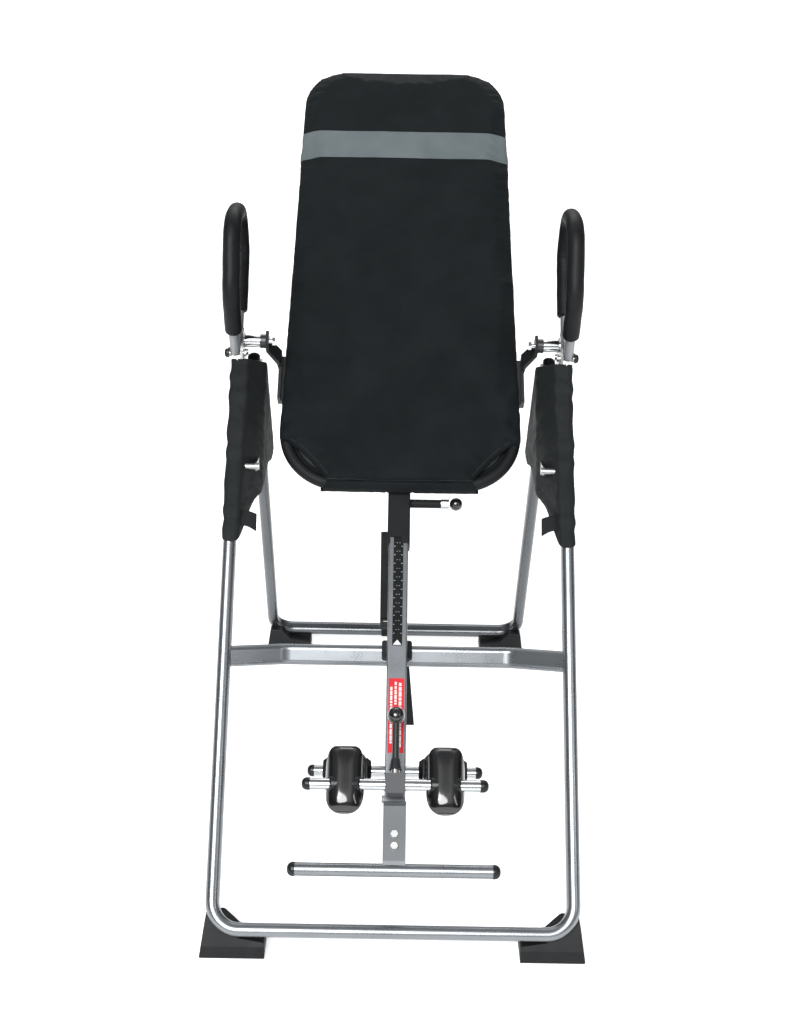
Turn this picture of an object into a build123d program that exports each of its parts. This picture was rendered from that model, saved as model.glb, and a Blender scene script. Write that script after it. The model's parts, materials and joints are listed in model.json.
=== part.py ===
"""Inversion table: a folding A-frame, a reclining bed on two pivots, and a sliding boom with ankle holders.

Millimetres. +Z is up, +Y runs from the foot bar to the bed's head, +X is to the right of a person who faces
the bed. The origin is on the floor, at the middle of the whole object's box.
"""

import os
from math import cos, radians, sin

from build123d import *

os.makedirs("parts", exist_ok=True)

# ---- driving dimensions ------------------------------------------------------------------------------
front_bar_y = -658.0  # front floor bar, from the middle of the object
base_length = 1153.0  # front floor bar to rear floor bar
bar_height = 50.0  # axis of both floor bars above the floor
front_lean = 38.55  # front legs, degrees back from upright
bed_lean = 48.0  # bed and boom, degrees back from upright
pivot_up_leg = 1130.0  # table pivot, measured up the front leg from the floor bar

tube_width = 25.0  # flat-oval frame tube, across the frame
tube_depth = 33.0
tube_wall = 2.0
front_width = 650.0  # between leg axes
rear_width_top = 596.0
rear_width_floor = 616.0
corner_radius = 50.0
front_leg_top = 1048.0  # end of the front leg tube, up the leg

hinge_up_leg = 1100.8  # rear frame hinge, up the front leg and behind its axis
hinge_behind_leg = 41.6
rear_leg_over_hinge = 12.0

crossbar_up_leg = 493.0
crossbar_tall = 40.0
crossbar_thick = 20.0
crossbar_bow = 68.0
crossbar_bow_fall = 23.8  # degrees below level
crossbar_flat = 218.0  # half length of its straight middle

arm_rise = 91.0  # pivot above the plane of the bed tube
boom_drop = 35.0  # boom axis below that plane
bed_tube_d = 25.0
bed_bottom = -271.0  # bed tube axis, along the bed from the pivot
bed_top = 757.0
bed_half_bottom = 232.0
bed_half_top = 210.0
bed_corner_bottom = 112.0
bed_corner_top = 80.0
cover_wrap = 15.0  # from bed tube axis to the cover's outer edge
pad_thick = 16.0
band_low = 513.0
band_high = 585.0

boom_size = 38.0
boom_wall = 2.0
boom_upper = -150.0
boom_lower = -1000.0
sleeve_size = 44.0
sleeve_lower = -388.0
sleeve_upper = -30.0
hole_pitch = 36.0
pin_s = -294.0
pin_d = 8.0

rod_d = 21.0
rod_half = 167.0
front_rod_s = -878.0
front_rod_h = -63.0
rear_rod_s = -821.0
rear_rod_h = -193.0
foot_bar_s = -1019.0
foot_bar_h = -114.0
foot_bar_d = 24.0
foot_bar_half = 190.0
cup_x = 90.0

strap_width = 38.0
strap_thick = 2.2
strap_x = -16.0
lower_strap_x = 2.0
running_gap = 0.08  # radial, shafts and pins
snug_gap = 0.1  # between a tube and what sits on it

# ---- worked out from them ----------------------------------------------------------------------------
leg_dir = Vector(0, sin(radians(front_lean)), cos(radians(front_lean)))
leg_front = Vector(0, -cos(radians(front_lean)), sin(radians(front_lean)))
bed_dir = Vector(0, sin(radians(bed_lean)), cos(radians(bed_lean)))
bed_front = Vector(0, -cos(radians(bed_lean)), sin(radians(bed_lean)))
x_axis = Vector(1, 0, 0)
front_bar = Vector(0, front_bar_y, bar_height)
rear_bar = Vector(0, front_bar_y + base_length, bar_height)
pivot = front_bar + leg_dir * pivot_up_leg
hinge = front_bar + leg_dir * hinge_up_leg - leg_front * hinge_behind_leg
rear_dir = (hinge - rear_bar).normalized()
rear_leg = (hinge - rear_bar).length
boom_h = -arm_rise - boom_drop
boom_top_h = boom_h + boom_size / 2
boom_under_h = boom_h - boom_size / 2
tube_h = -arm_rise


def table_at(x, s, h):
    """A point x across, s up the bed from the pivot and h in front of the pivot's plane."""
    return pivot + x_axis * x + bed_dir * s + bed_front * h


def across_bed(s, h=0.0):
    """Plane square to the boom: X, and -Y towards the bed's front. It extrudes up the bed."""
    return Plane(origin=table_at(0, s, h), x_dir=(1, 0, 0), z_dir=bed_dir)


def along_bed(h):
    """Plane parallel to the bed: X and s. It extrudes to the front."""
    return Plane(origin=table_at(0, 0, h), x_dir=(1, 0, 0), z_dir=bed_front)


def beside_bed(x):
    """Upright plane beside the bed: s and h. It extrudes to +X."""
    return Plane(origin=table_at(x, 0, 0), x_dir=bed_dir, z_dir=(1, 0, 0))


def beside_leg(x):
    """Upright plane beside a front leg: up the leg, and forward of it. It extrudes to +X."""
    return Plane(origin=front_bar + x_axis * x, x_dir=leg_dir, z_dir=(1, 0, 0))


def beside_floor(x):
    """Upright plane of world Y and Z. It extrudes to +X."""
    return Plane(origin=(x, 0, 0), x_dir=(0, 1, 0), z_dir=(1, 0, 0))


def save(part, name):
    """Label one finished sub-part and write its STEP file."""
    part.label = name
    export_step(part, f"parts/{name}.step")


def swept(points, radius, tall, thick, wall, normal):
    """A flat-oval tube along a rounded polyline. Its longer side lies along normal. wall 0 is solid."""
    with BuildPart() as tube:
        with BuildLine() as path:
            FilletPolyline(*points, radius=radius)
        with BuildSketch(Plane(origin=path.line @ 0, x_dir=normal, z_dir=path.line % 0)):
            SlotOverall(tall, thick)
            if wall:
                SlotOverall(tall - 2 * wall, thick - 2 * wall, mode=Mode.SUBTRACT)
        sweep()
    return tube.part


def rod_x(plane_at, spots, x_from, x_to, diameter, bore=0.0):
    """Round bars along X, at spots of a side plane, from x_from to x_to, bored when bore is given."""
    with BuildPart() as rods:
        with BuildSketch(plane_at(x_from)):
            with Locations(*spots):
                Circle(diameter / 2)
                if bore:
                    Circle(bore / 2, mode=Mode.SUBTRACT)
        extrude(amount=x_to - x_from)
    return rods.part


def joined(*parts):
    """Several solids as one part."""
    with BuildPart() as group:
        for piece in parts:
            add(piece)
    return group.part


# ---- front frame -------------------------------------------------------------------------------------
front_points = [
    front_bar - x_axis * (front_width / 2) + leg_dir * front_leg_top,
    front_bar - x_axis * (front_width / 2),
    front_bar + x_axis * (front_width / 2),
    front_bar + x_axis * (front_width / 2) + leg_dir * front_leg_top,
]
front_frame_tube = swept(front_points, corner_radius, tube_depth, tube_width, tube_wall, leg_front)
save(front_frame_tube, "front_frame_tube")
space_depth = tube_depth + 2 * snug_gap
space_width = tube_width + 2 * snug_gap
front_tube_space = swept(front_points, corner_radius, space_depth, space_width, 0, leg_front)

bow_dir = Vector(0, cos(radians(crossbar_bow_fall)), -sin(radians(crossbar_bow_fall)))
crossbar_up = Vector(0, sin(radians(crossbar_bow_fall)), cos(radians(crossbar_bow_fall)))
crossbar_end = front_bar + leg_dir * crossbar_up_leg
crossbar_points = [
    crossbar_end - x_axis * (front_width / 2),
    crossbar_end - x_axis * crossbar_flat + bow_dir * crossbar_bow,
    crossbar_end + x_axis * crossbar_flat + bow_dir * crossbar_bow,
    crossbar_end + x_axis * (front_width / 2),
]
crossbar_bend = 45.0
crossbar_solid = swept(crossbar_points, crossbar_bend, crossbar_tall, crossbar_thick, 0, crossbar_up)
with BuildPart() as crossbar:
    add(swept(crossbar_points, crossbar_bend, crossbar_tall, crossbar_thick, tube_wall, crossbar_up))
    add(front_tube_space, mode=Mode.SUBTRACT)
save(crossbar.part, "crossbar")

bumper_s = (crossbar_end + bow_dir * crossbar_bow - pivot).dot(bed_dir)
bumper_width = 58.0
bumper_height = 36.0
bumper_thick = 20.0
bumper_shift = 6.0  # up the bed from the crossbar's middle
with BuildPart() as crossbar_bumper:
    with BuildSketch(along_bed(boom_under_h - 0.3)):
        with Locations((0, bumper_s + bumper_shift)):
            RectangleRounded(bumper_width, bumper_height, 5)
    extrude(amount=-bumper_thick)
    add(crossbar_solid, mode=Mode.SUBTRACT)
    crossbar_bumper.part = crossbar_bumper.part.solids().sort_by(SortBy.VOLUME)[-1]
save(crossbar_bumper.part, "crossbar_bumper")


# ---- feet --------------------------------------------------------------------------------------------
foot_height = 66.0
foot_round = 6.0


def corner_foot(bar, side, back, outer, inner, tube_space):
    """A rubber shoe under a frame corner. back is 1 where its tall wall stands towards +Y."""
    with BuildPart() as foot:
        with BuildSketch(Plane(origin=(0, bar.Y - 60, 0), x_dir=(1, 0, 0), z_dir=(0, -1, 0))):
            with BuildLine():
                Polyline(
                    (side * outer, 0),
                    (side * inner, 0),
                    (side * inner, 30),
                    (side * (inner + 48), 36),
                    (side * (outer - 38), foot_height),
                    (side * (outer - 10), foot_height),
                    close=True,
                )
            make_face()
        extrude(amount=-140)
        fillet(foot.edges().filter_by(Axis.Y), foot_round)
        with BuildSketch(beside_floor(-outer - 20), mode=Mode.PRIVATE) as wall_outline:
            with BuildLine():
                Polyline(
                    (bar.Y - back * 24, 0),
                    (bar.Y - back * 15, 24),
                    (bar.Y + back * 3, 50),
                    (bar.Y + back * 17, foot_height),
                    (bar.Y + back * 46, foot_height),
                    (bar.Y + back * 28, 0),
                    close=True,
                )
            make_face()
            fillet(wall_outline.vertices(), foot_round)
        extrude(wall_outline.sketch, amount=2 * outer + 40, mode=Mode.INTERSECT)
        add(tube_space, mode=Mode.SUBTRACT)
    return foot.part.solids().sort_by(SortBy.VOLUME)[-1]


for name, side in (("left", -1), ("right", 1)):
    foot_part = corner_foot(front_bar, side, 1, 347, 229, front_tube_space)
    save(foot_part, f"front_foot_{name}")

# ---- pivot plates, handles ---------------------------------------------------------------------------
plate_x = 315.0
plate_thick = 5.0
roller_d = 24.0
hinge_bolt_d = 10.0
brace_bolt_d = 8.0
handle_x = 331.0
handle_tube_d = 20.0
grip_d = 34.0
handle_front_end = (-30.0, 10.0)  # up the leg from the pivot, and forward
handle_rear_end = (-12.0, -28.0)

with BuildPart() as plate:
    with BuildSketch(beside_leg(plate_x)):
        with BuildLine():
            Polyline(
                (front_leg_top - 55, -6.5),
                (front_leg_top - 55, 6.5),
                (front_leg_top + 2, 6.5),
                (pivot_up_leg - 48, 16),
                (pivot_up_leg - 30, 24),
                (pivot_up_leg + 8, 24),
                (pivot_up_leg + 22, 16),
                (pivot_up_leg + 22, -18),
                (pivot_up_leg - 14, -58),
                (pivot_up_leg - 44, -56),
                (front_leg_top + 2, -6.5),
                close=True,
            )
        make_face()
        with Locations((pivot_up_leg, 0)):
            Circle(roller_d / 2 - 4, mode=Mode.SUBTRACT)
        with Locations((pivot_up_leg + 14, 0)):
            Rectangle(28, roller_d - 8, mode=Mode.SUBTRACT)
        with Locations((hinge_up_leg, -hinge_behind_leg)):
            Circle(hinge_bolt_d / 2, mode=Mode.SUBTRACT)
        for up, forward in (handle_front_end, handle_rear_end):
            with Locations((pivot_up_leg + up, forward)):
                Circle(4.0, mode=Mode.SUBTRACT)
    extrude(amount=plate_thick)
pivot_plates = joined(plate.part, mirror(plate.part, Plane.YZ))
save(pivot_plates, "pivot_plates")


def leg_point(x, up, forward):
    """A point beside the pivot, up the leg and forward of it."""
    return front_bar + x_axis * x + leg_dir * (pivot_up_leg + up) + leg_front * forward


handle_loop = [
    leg_point(handle_x, *handle_front_end),
    pivot + Vector(handle_x, -74, 118),
    pivot + Vector(handle_x, -22, 246),
    pivot + Vector(handle_x, 102, 246),
    pivot + Vector(handle_x, 138, 150),
    leg_point(handle_x, *handle_rear_end),
]
handle_radii = [60, 70, 58, 60]


def handle_sweep(outer, bore, trim):
    """The handle's loop as a tube. trim takes that length off both of its ends."""
    with BuildPart() as handle:
        with BuildLine() as path:
            FilletPolyline(*handle_loop, radius=handle_radii)
        section = Plane(origin=path.line @ 0, x_dir=(1, 0, 0), z_dir=path.line % 0)
        with BuildSketch(section):
            Circle(outer / 2)
            Circle(bore / 2, mode=Mode.SUBTRACT)
        sweep()
        if trim:
            middle = Vector(handle_x, pivot.Y + 10, pivot.Z - 8)
            with BuildSketch(Plane(origin=middle - x_axis * 40, z_dir=(1, 0, 0))):
                Circle(trim)
            extrude(amount=80, mode=Mode.SUBTRACT)
    return handle.part


handle_tube = handle_sweep(handle_tube_d, handle_tube_d - 3, 0)
handle_grip = handle_sweep(grip_d, handle_tube_d + 0.2, 66)
for name, mirrored in (("left", True), ("right", False)):
    save(mirror(handle_grip, Plane.YZ) if mirrored else handle_grip, f"handle_grip_{name}")

handle_spots = [
    (pivot_up_leg + up, forward) for up, forward in (handle_front_end, handle_rear_end)
]
bolt_space = rod_x(beside_leg, handle_spots, plate_x - 10, handle_x + 20, 8.0)
handle_tube = handle_tube - bolt_space
save(joined(handle_tube, mirror(handle_tube, Plane.YZ)), "handle_tubes")

bolt_side = joined(
    rod_x(beside_leg, handle_spots, plate_x - 6, plate_x, 13.0),
    rod_x(beside_leg, handle_spots, plate_x, handle_x + handle_tube_d / 2 + 2, 7.9),
)
save(joined(bolt_side, mirror(bolt_side, Plane.YZ)), "handle_bolts")

with BuildPart() as dome:
    cap_x = handle_x + handle_tube_d / 2 + 2
    with BuildSketch(beside_leg(cap_x)):
        with Locations(*handle_spots):
            Circle(9)
    extrude(amount=9)
    fillet(dome.faces().sort_by(Axis.X)[-2:].edges(), 5)
save(joined(dome.part, mirror(dome.part, Plane.YZ)), "dome_caps")

# ---- rear frame --------------------------------------------------------------------------------------
rear_front = Vector(0, -rear_dir.Z, rear_dir.Y)
rear_points = [
    hinge - x_axis * (rear_width_top / 2) + rear_dir * rear_leg_over_hinge,
    rear_bar - x_axis * (rear_width_floor / 2),
    rear_bar + x_axis * (rear_width_floor / 2),
    hinge + x_axis * (rear_width_top / 2) + rear_dir * rear_leg_over_hinge,
]
brace_drop = 231.0  # brace bolts, down each leg from the hinge
rear_brace_spot = hinge - rear_dir * brace_drop
front_brace_reach = 233.0
front_brace_spot = front_bar + leg_dir * (hinge_up_leg - front_brace_reach)


def world_spot(point):
    """The Y and Z of a point, for a sketch on beside_floor."""
    return (point.Y, point.Z)


with BuildPart() as rear_frame_tube:
    add(swept(rear_points, corner_radius, tube_depth, tube_width, tube_wall, rear_front))
    add(
        rod_x(beside_floor, [world_spot(hinge)], -330, 330, hinge_bolt_d + 2 * running_gap),
        mode=Mode.SUBTRACT,
    )
    add(
        rod_x(beside_floor, [world_spot(rear_brace_spot)], -330, 330, brace_bolt_d),
        mode=Mode.SUBTRACT,
    )
save(rear_frame_tube.part, "rear_frame_tube")
rear_tube_space = swept(rear_points, corner_radius, space_depth, space_width, 0, rear_front)

rear_feet = [corner_foot(rear_bar, side, -1, 323, 213, rear_tube_space) for side in (-1, 1)]
save(joined(*rear_feet), "rear_feet")

# ---- braces and frame bolts --------------------------------------------------------------------------
front_link_x = 279.2
rear_link_x = 282.2
link_thick = 2.5
link_wide = 18.0


def brace_link(start, end, x_low):
    """One flat link with rounded, drilled ends."""
    span = end - start
    plane = Plane(origin=(x_low, start.Y, start.Z), x_dir=span, z_dir=(1, 0, 0))
    with BuildPart() as link:
        with BuildSketch(plane):
            with Locations((span.length / 2, 0)):
                SlotCenterToCenter(span.length, link_wide)
            with Locations((0, 0), (span.length, 0)):
                Circle(brace_bolt_d / 2 + running_gap, mode=Mode.SUBTRACT)
        extrude(amount=link_thick)
    return link.part


brace_middle = (front_brace_spot + rear_brace_spot) * 0.5
front_link = brace_link(front_brace_spot, brace_middle, front_link_x)
rear_link = brace_link(rear_brace_spot, brace_middle, rear_link_x)
save(joined(front_link, mirror(front_link, Plane.YZ)), "front_brace_links")
save(joined(rear_link, mirror(rear_link, Plane.YZ)), "rear_brace_links")

hinge_bolt = joined(
    rod_x(beside_floor, [world_spot(hinge)], 281.0, 285.2, 16.0),
    rod_x(beside_floor, [world_spot(hinge)], 285.2, plate_x + plate_thick, hinge_bolt_d),
    rod_x(beside_floor, [world_spot(hinge)], plate_x + plate_thick, plate_x + plate_thick + 7, 16.0),
)
front_brace_bolt = joined(
    rod_x(beside_floor, [world_spot(front_brace_spot)], 275.2, 279.1, 14.0),
    rod_x(beside_floor, [world_spot(front_brace_spot)], 279.1, 300.0, brace_bolt_d),
    rod_x(beside_floor, [world_spot(front_brace_spot)], 282.0, 312.4, 13.0),
)
frame_bolts = joined(
    hinge_bolt,
    mirror(hinge_bolt, Plane.YZ),
    front_brace_bolt,
    mirror(front_brace_bolt, Plane.YZ),
)
save(frame_bolts, "frame_bolts")
rear_brace_bolt = joined(
    rod_x(beside_floor, [world_spot(rear_brace_spot)], 277.6, 282.0, 15.0),
    rod_x(beside_floor, [world_spot(rear_brace_spot)], 282.0, 312.0, brace_bolt_d),
)
save(joined(rear_brace_bolt, mirror(rear_brace_bolt, Plane.YZ)), "rear_brace_bolts")

# ---- leg covers --------------------------------------------------------------------------------------
cover_inner_x = 273.0
cover_outer_x = 339.5
cover_thick = 1.5
cover_top_up = 1085.0
cover_low_up = 712.0
cover_front = tube_depth / 2 + 2.5
rear_edge_top = hinge + Vector(0, 26, -12)
rear_edge_low = rear_brace_spot + Vector(0, 26, -12)


def leg_world(up, forward):
    """World Y and Z of a point up a front leg and forward of it."""
    return world_spot(front_bar + leg_dir * up + leg_front * forward)


def cover_outline(forward):
    """Side outline of a leg cover, its front edge forward of the leg's axis."""
    return [
        leg_world(cover_top_up, forward),
        world_spot(rear_edge_top),
        world_spot(rear_edge_low),
        leg_world(cover_low_up, -18),
        leg_world(cover_low_up, forward),
    ]


with BuildPart() as cover:
    with BuildSketch(beside_floor(cover_inner_x)):
        with BuildLine():
            Polyline(*cover_outline(cover_front + cover_thick), close=True)
        make_face()
    extrude(amount=cover_outer_x + cover_thick - cover_inner_x)
    with BuildSketch(beside_leg(cover_inner_x + cover_thick)):
        with Locations(((cover_low_up + cover_top_up) / 2, cover_front - 200)):
            Rectangle(900, 400)
    extrude(amount=cover_outer_x - cover_inner_x - cover_thick, mode=Mode.SUBTRACT)
save(mirror(cover.part, Plane.YZ), "leg_cover_left")
save(cover.part, "leg_cover_right")


# ---- bed ---------------------------------------------------------------------------------------------
def bed_half(s, grow=0.0):
    """Half the bed's width at s, at the tube's axis plus grow."""
    share = (s - bed_bottom) / (bed_top - bed_bottom)
    return bed_half_bottom + (bed_half_top - bed_half_bottom) * share + grow


bed_half_loop = [
    table_at(0, bed_bottom, tube_h),
    table_at(bed_half(bed_bottom), bed_bottom, tube_h),
    table_at(bed_half(bed_top), bed_top, tube_h),
    table_at(0, bed_top, tube_h),
]


def bed_loop_tube(outer, bore):
    """The bed's tube, bent into a closed loop: one swept half and its mirror image."""
    with BuildPart() as loop:
        with BuildLine() as path:
            FilletPolyline(*bed_half_loop, radius=[bed_corner_bottom, bed_corner_top])
        with BuildSketch(Plane(origin=path.line @ 0, x_dir=bed_dir, z_dir=(1, 0, 0))):
            Circle(outer / 2)
            if bore:
                Circle(bore / 2, mode=Mode.SUBTRACT)
        sweep()
        mirror(about=Plane.YZ)
    return loop.part


save(bed_loop_tube(bed_tube_d, bed_tube_d - 3), "bed_tube")
bed_tube_space = bed_loop_tube(bed_tube_d + 0.2, 0)

cross_tube_d = 22.0
cross_tube_spots = [(-48.0, tube_h), (330.0, tube_h)]
with BuildPart() as bed_cross_tubes:
    add(rod_x(beside_bed, cross_tube_spots, -240, 240, cross_tube_d, cross_tube_d - 3))
    add(bed_tube_space, mode=Mode.SUBTRACT)
    spans = bed_cross_tubes.part.solids().sort_by(SortBy.VOLUME)[-2:]
save(joined(*spans), "bed_cross_tubes")


def bed_slab(h, thick, grow):
    """A slab parallel to the bed, its outline grown from the bed tube's axis."""
    low = bed_bottom - grow
    high = bed_top + grow
    with BuildPart() as slab:
        with BuildSketch(along_bed(h)):
            with BuildLine():
                FilletPolyline(
                    (0, low),
                    (bed_half(low, grow), low),
                    (bed_half(high, grow), high),
                    (0, high),
                    radius=[bed_corner_bottom + grow, bed_corner_top + grow],
                )
                mirror(about=Plane.YZ)
            make_face()
        extrude(amount=thick)
    return slab.part


board_thick = 4.0
with BuildPart() as back_board:
    add(bed_slab(tube_h + board_thick, board_thick, -18))
    with BuildSketch(along_bed(tube_h + board_thick)):
        for s, _ in cross_tube_spots:
            with Locations((0, s)):
                Rectangle(480, cross_tube_d + 3)
    extrude(amount=board_thick, mode=Mode.SUBTRACT)
save(back_board.part, "back_board")

pad_low_h = tube_h + bed_tube_d / 2 + 0.2
pad_top_h = pad_low_h + pad_thick
with BuildPart() as pad:
    add(bed_slab(pad_low_h, pad_thick, cover_wrap))
    fillet(pad.faces().sort_by(Axis((0, 0, 0), bed_front))[-1].edges(), 6)
save(pad.part, "pad")

with BuildPart() as band:
    with BuildSketch(along_bed(pad_top_h + 0.1)):
        with BuildLine():
            Polyline(
                (-bed_half(band_low, cover_wrap - 7), band_low),
                (bed_half(band_low, cover_wrap - 7), band_low),
                (bed_half(band_high, cover_wrap - 7), band_high),
                (-bed_half(band_high, cover_wrap - 7), band_high),
                close=True,
            )
        make_face()
    extrude(amount=1.0)
save(band.part, "band")

# ---- pivot arms and rollers --------------------------------------------------------------------------
arm_half_width = 16.0
arm_low_x = 244.5
arm_high_x = 274.0
arm_plate = 6.0
with BuildPart() as arm:
    with BuildSketch(across_bed(-arm_half_width)):
        with BuildLine():
            Polyline(
                (arm_high_x - arm_plate - 2, 14),
                (arm_high_x - arm_plate - 2, -14),
                (arm_high_x - 2, -14),
                (arm_high_x - 2, 15),
                (arm_low_x + arm_plate + 3, 62),
                (arm_low_x + arm_plate, 98),
                (arm_low_x - 8, 98),
                (arm_low_x - 8, 84),
                (arm_low_x, 84),
                (arm_low_x, 60),
                close=True,
            )
        make_face()
    extrude(amount=2 * arm_half_width)
    with BuildSketch(across_bed(-88)):
        with BuildLine():
            Polyline(
                (arm_low_x + arm_plate, 72),
                (arm_low_x + arm_plate, 98),
                (arm_low_x - 8, 98),
                (arm_low_x - 8, 84),
                (arm_low_x, 84),
                (arm_low_x, 72),
                close=True,
            )
        make_face()
    extrude(amount=88)
    with BuildSketch(beside_bed(arm_high_x - arm_plate - 2)):
        Circle(14)
    extrude(amount=17)
    with BuildSketch(beside_bed(arm_high_x - 20)):
        Circle(6)
    extrude(amount=60, mode=Mode.SUBTRACT)
    add(bed_tube_space, mode=Mode.SUBTRACT)
arm_solid = arm.part.solids().sort_by(SortBy.VOLUME)[-1]
save(joined(arm_solid, mirror(arm_solid, Plane.YZ)), "pivot_arms")

roller_in = arm_high_x - arm_plate - 2 + 17
with BuildPart() as roller:
    with BuildSketch(beside_bed(roller_in - 24)):
        Circle(5.9)
    extrude(amount=24)
    with BuildSketch(beside_bed(roller_in - 30)):
        RegularPolygon(9, 6)
    extrude(amount=6)
    with BuildSketch(beside_bed(roller_in)):
        Circle(roller_d / 2)
    extrude(amount=plate_x - 0.4 - roller_in)
    with BuildSketch(beside_bed(plate_x - 0.4)):
        Circle(roller_d / 2 - 4 - running_gap)
    extrude(amount=plate_thick + 2)
save(joined(roller.part, mirror(roller.part, Plane.YZ)), "pivot_rollers")

# ---- height sleeve and pull pin ----------------------------------------------------------------------
with BuildPart() as height_sleeve:
    with BuildSketch(across_bed(sleeve_lower, boom_h)):
        RectangleRounded(sleeve_size, sleeve_size, 3)
        Rectangle(sleeve_size - 4, sleeve_size - 4, mode=Mode.SUBTRACT)
    extrude(amount=sleeve_upper - sleeve_lower)
    with BuildSketch(along_bed(boom_top_h - 2)):
        with Locations((-6, sleeve_lower)):
            Rectangle(22, 24)
    extrude(amount=10, mode=Mode.SUBTRACT)
    with BuildSketch(beside_bed(0)):
        with Locations((pin_s, boom_h)):
            Circle(pin_d / 2 + running_gap)
    extrude(amount=40, mode=Mode.SUBTRACT)
save(height_sleeve.part, "height_sleeve")

with BuildPart() as sleeve_bushing:
    for start in (sleeve_lower + 16, sleeve_upper - 34):
        with BuildSketch(across_bed(start, boom_h)):
            Rectangle(sleeve_size - 4.05, sleeve_size - 4.05)
            RectangleRounded(boom_size + 0.2, boom_size + 0.2, 3, mode=Mode.SUBTRACT)
        extrude(amount=30)
save(sleeve_bushing.part, "sleeve_bushings")

barrel_from = sleeve_size / 2
barrel_to = 83.5
collar_to = 99.5
pin_barrel = rod_x(beside_bed, [(pin_s, boom_h)], barrel_from, barrel_to, 17, 13)
save(pin_barrel, "pin_barrel")
with BuildPart() as pin_collar:
    with BuildSketch(beside_bed(barrel_to)):
        with Locations((pin_s, boom_h)):
            RegularPolygon(9.5, 12)
            Circle(pin_d / 2 + running_gap, mode=Mode.SUBTRACT)
    extrude(amount=collar_to - barrel_to)
save(pin_collar.part, "pin_collar")

ball_x = 113.5
pin_tip = boom_size / 2 + 0.4
with BuildPart() as height_pin:
    with BuildSketch(beside_bed(pin_tip)):
        with Locations((pin_s, boom_h)):
            Circle(pin_d / 2)
    extrude(amount=ball_x - pin_tip)
    with BuildSketch(beside_bed(45)):
        with Locations((pin_s, boom_h)):
            Circle(6.3)
    extrude(amount=4)
save(height_pin.part, "height_pin")
with BuildPart() as pin_ball:
    with Locations(table_at(ball_x, pin_s, boom_h)):
        Sphere(13)
    add(height_pin.part, mode=Mode.SUBTRACT)
save(pin_ball.part, "height_pin_ball")

# ---- boom --------------------------------------------------------------------------------------------
shaft_d = 16.0
with BuildPart() as boom_tube:
    with BuildSketch(across_bed(boom_lower, boom_h)):
        RectangleRounded(boom_size, boom_size, 3)
        Rectangle(boom_size - 2 * boom_wall, boom_size - 2 * boom_wall, mode=Mode.SUBTRACT)
    extrude(amount=boom_upper - boom_lower)
    with BuildSketch(beside_bed(0)):
        for step in range(-3, 4):
            with Locations((pin_s + step * hole_pitch, boom_h)):
                Circle(pin_d / 2 + 0.4)
    extrude(amount=30, mode=Mode.SUBTRACT)
    with BuildSketch(along_bed(boom_h)):
        with Locations((0, front_rod_s)):
            Circle(shaft_d / 2 + running_gap)
    extrude(amount=40, both=True, mode=Mode.SUBTRACT)
save(boom_tube.part, "boom_tube")

with BuildPart() as boom_plugs:
    for start in (boom_lower - 3, boom_upper):
        with BuildSketch(across_bed(start, boom_h)):
            RectangleRounded(boom_size - 1, boom_size - 1, 3)
        extrude(amount=3)
save(boom_plugs.part, "boom_plugs")


def boom_skin(s_low, s_high, width, thick):
    """A thin sticker on the boom's front face."""
    with BuildPart() as skin:
        with BuildSketch(along_bed(boom_top_h + 0.02)):
            with Locations((0, (s_low + s_high) / 2)):
                Rectangle(width, s_high - s_low)
        extrude(amount=thick)
    return skin.part


sticker_thick = 0.06
save(boom_skin(-600, -376, 19, sticker_thick), "scale_strip")
save(boom_skin(-808, -665, 29, sticker_thick), "boom_sticker")

with BuildPart() as foot_bar:
    with BuildSketch(beside_bed(-foot_bar_half + 14)):
        with Locations((foot_bar_s, foot_bar_h)):
            Circle(foot_bar_d / 2)
            Circle(foot_bar_d / 2 - 2, mode=Mode.SUBTRACT)
    extrude(amount=2 * foot_bar_half - 28)
save(foot_bar.part, "foot_bar")


def end_caps(s, h, half, diameter, length):
    """Two domed caps over the ends of a rod along X."""
    with BuildPart() as caps:
        with BuildSketch(beside_bed(half - length)):
            with Locations((s, h)):
                Circle(diameter / 2 + 0.8)
        extrude(amount=length)
        fillet(caps.faces().sort_by(Axis.X)[-1].edges(), diameter / 2 - 1)
    return joined(caps.part, mirror(caps.part, Plane.YZ))


save(end_caps(foot_bar_s, foot_bar_h, foot_bar_half, foot_bar_d, 14), "foot_bar_caps")

bracket_thick = 3.0
with BuildPart() as foot_bracket:
    with BuildSketch(beside_bed(-20.5)):
        with BuildLine():
            Polyline(
                (-1015, boom_top_h + snug_gap),
                (-904, boom_top_h + snug_gap),
                (-899, boom_top_h + 9),
                (-901.5, boom_top_h + 10.5),
                (-906, boom_top_h + bracket_thick + snug_gap),
                (-1004, boom_top_h + bracket_thick + snug_gap),
                (-1020, boom_top_h + 1),
                (-1020, boom_top_h - 2),
                close=True,
            )
        make_face()
    extrude(amount=41)
    add(
        rod_x(beside_bed, [(foot_bar_s, foot_bar_h)], -25, 25, foot_bar_d + 0.1),
        mode=Mode.SUBTRACT,
    )
bracket_plate = foot_bracket.part.solids().sort_by(SortBy.VOLUME)[-1]
save(bracket_plate, "foot_bracket")

with BuildPart() as bracket_bolts:
    with BuildSketch(along_bed(boom_top_h + bracket_thick + 0.15)):
        with Locations((0, -957), (0, -978)):
            RegularPolygon(7, 6)
    extrude(amount=5)
    with BuildSketch(beside_bed(-boom_size / 2 - 5.1)):
        with Locations((-889, boom_h)):
            RegularPolygon(7, 6)
    extrude(amount=5)
save(bracket_bolts.part, "foot_bracket_bolts")

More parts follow.
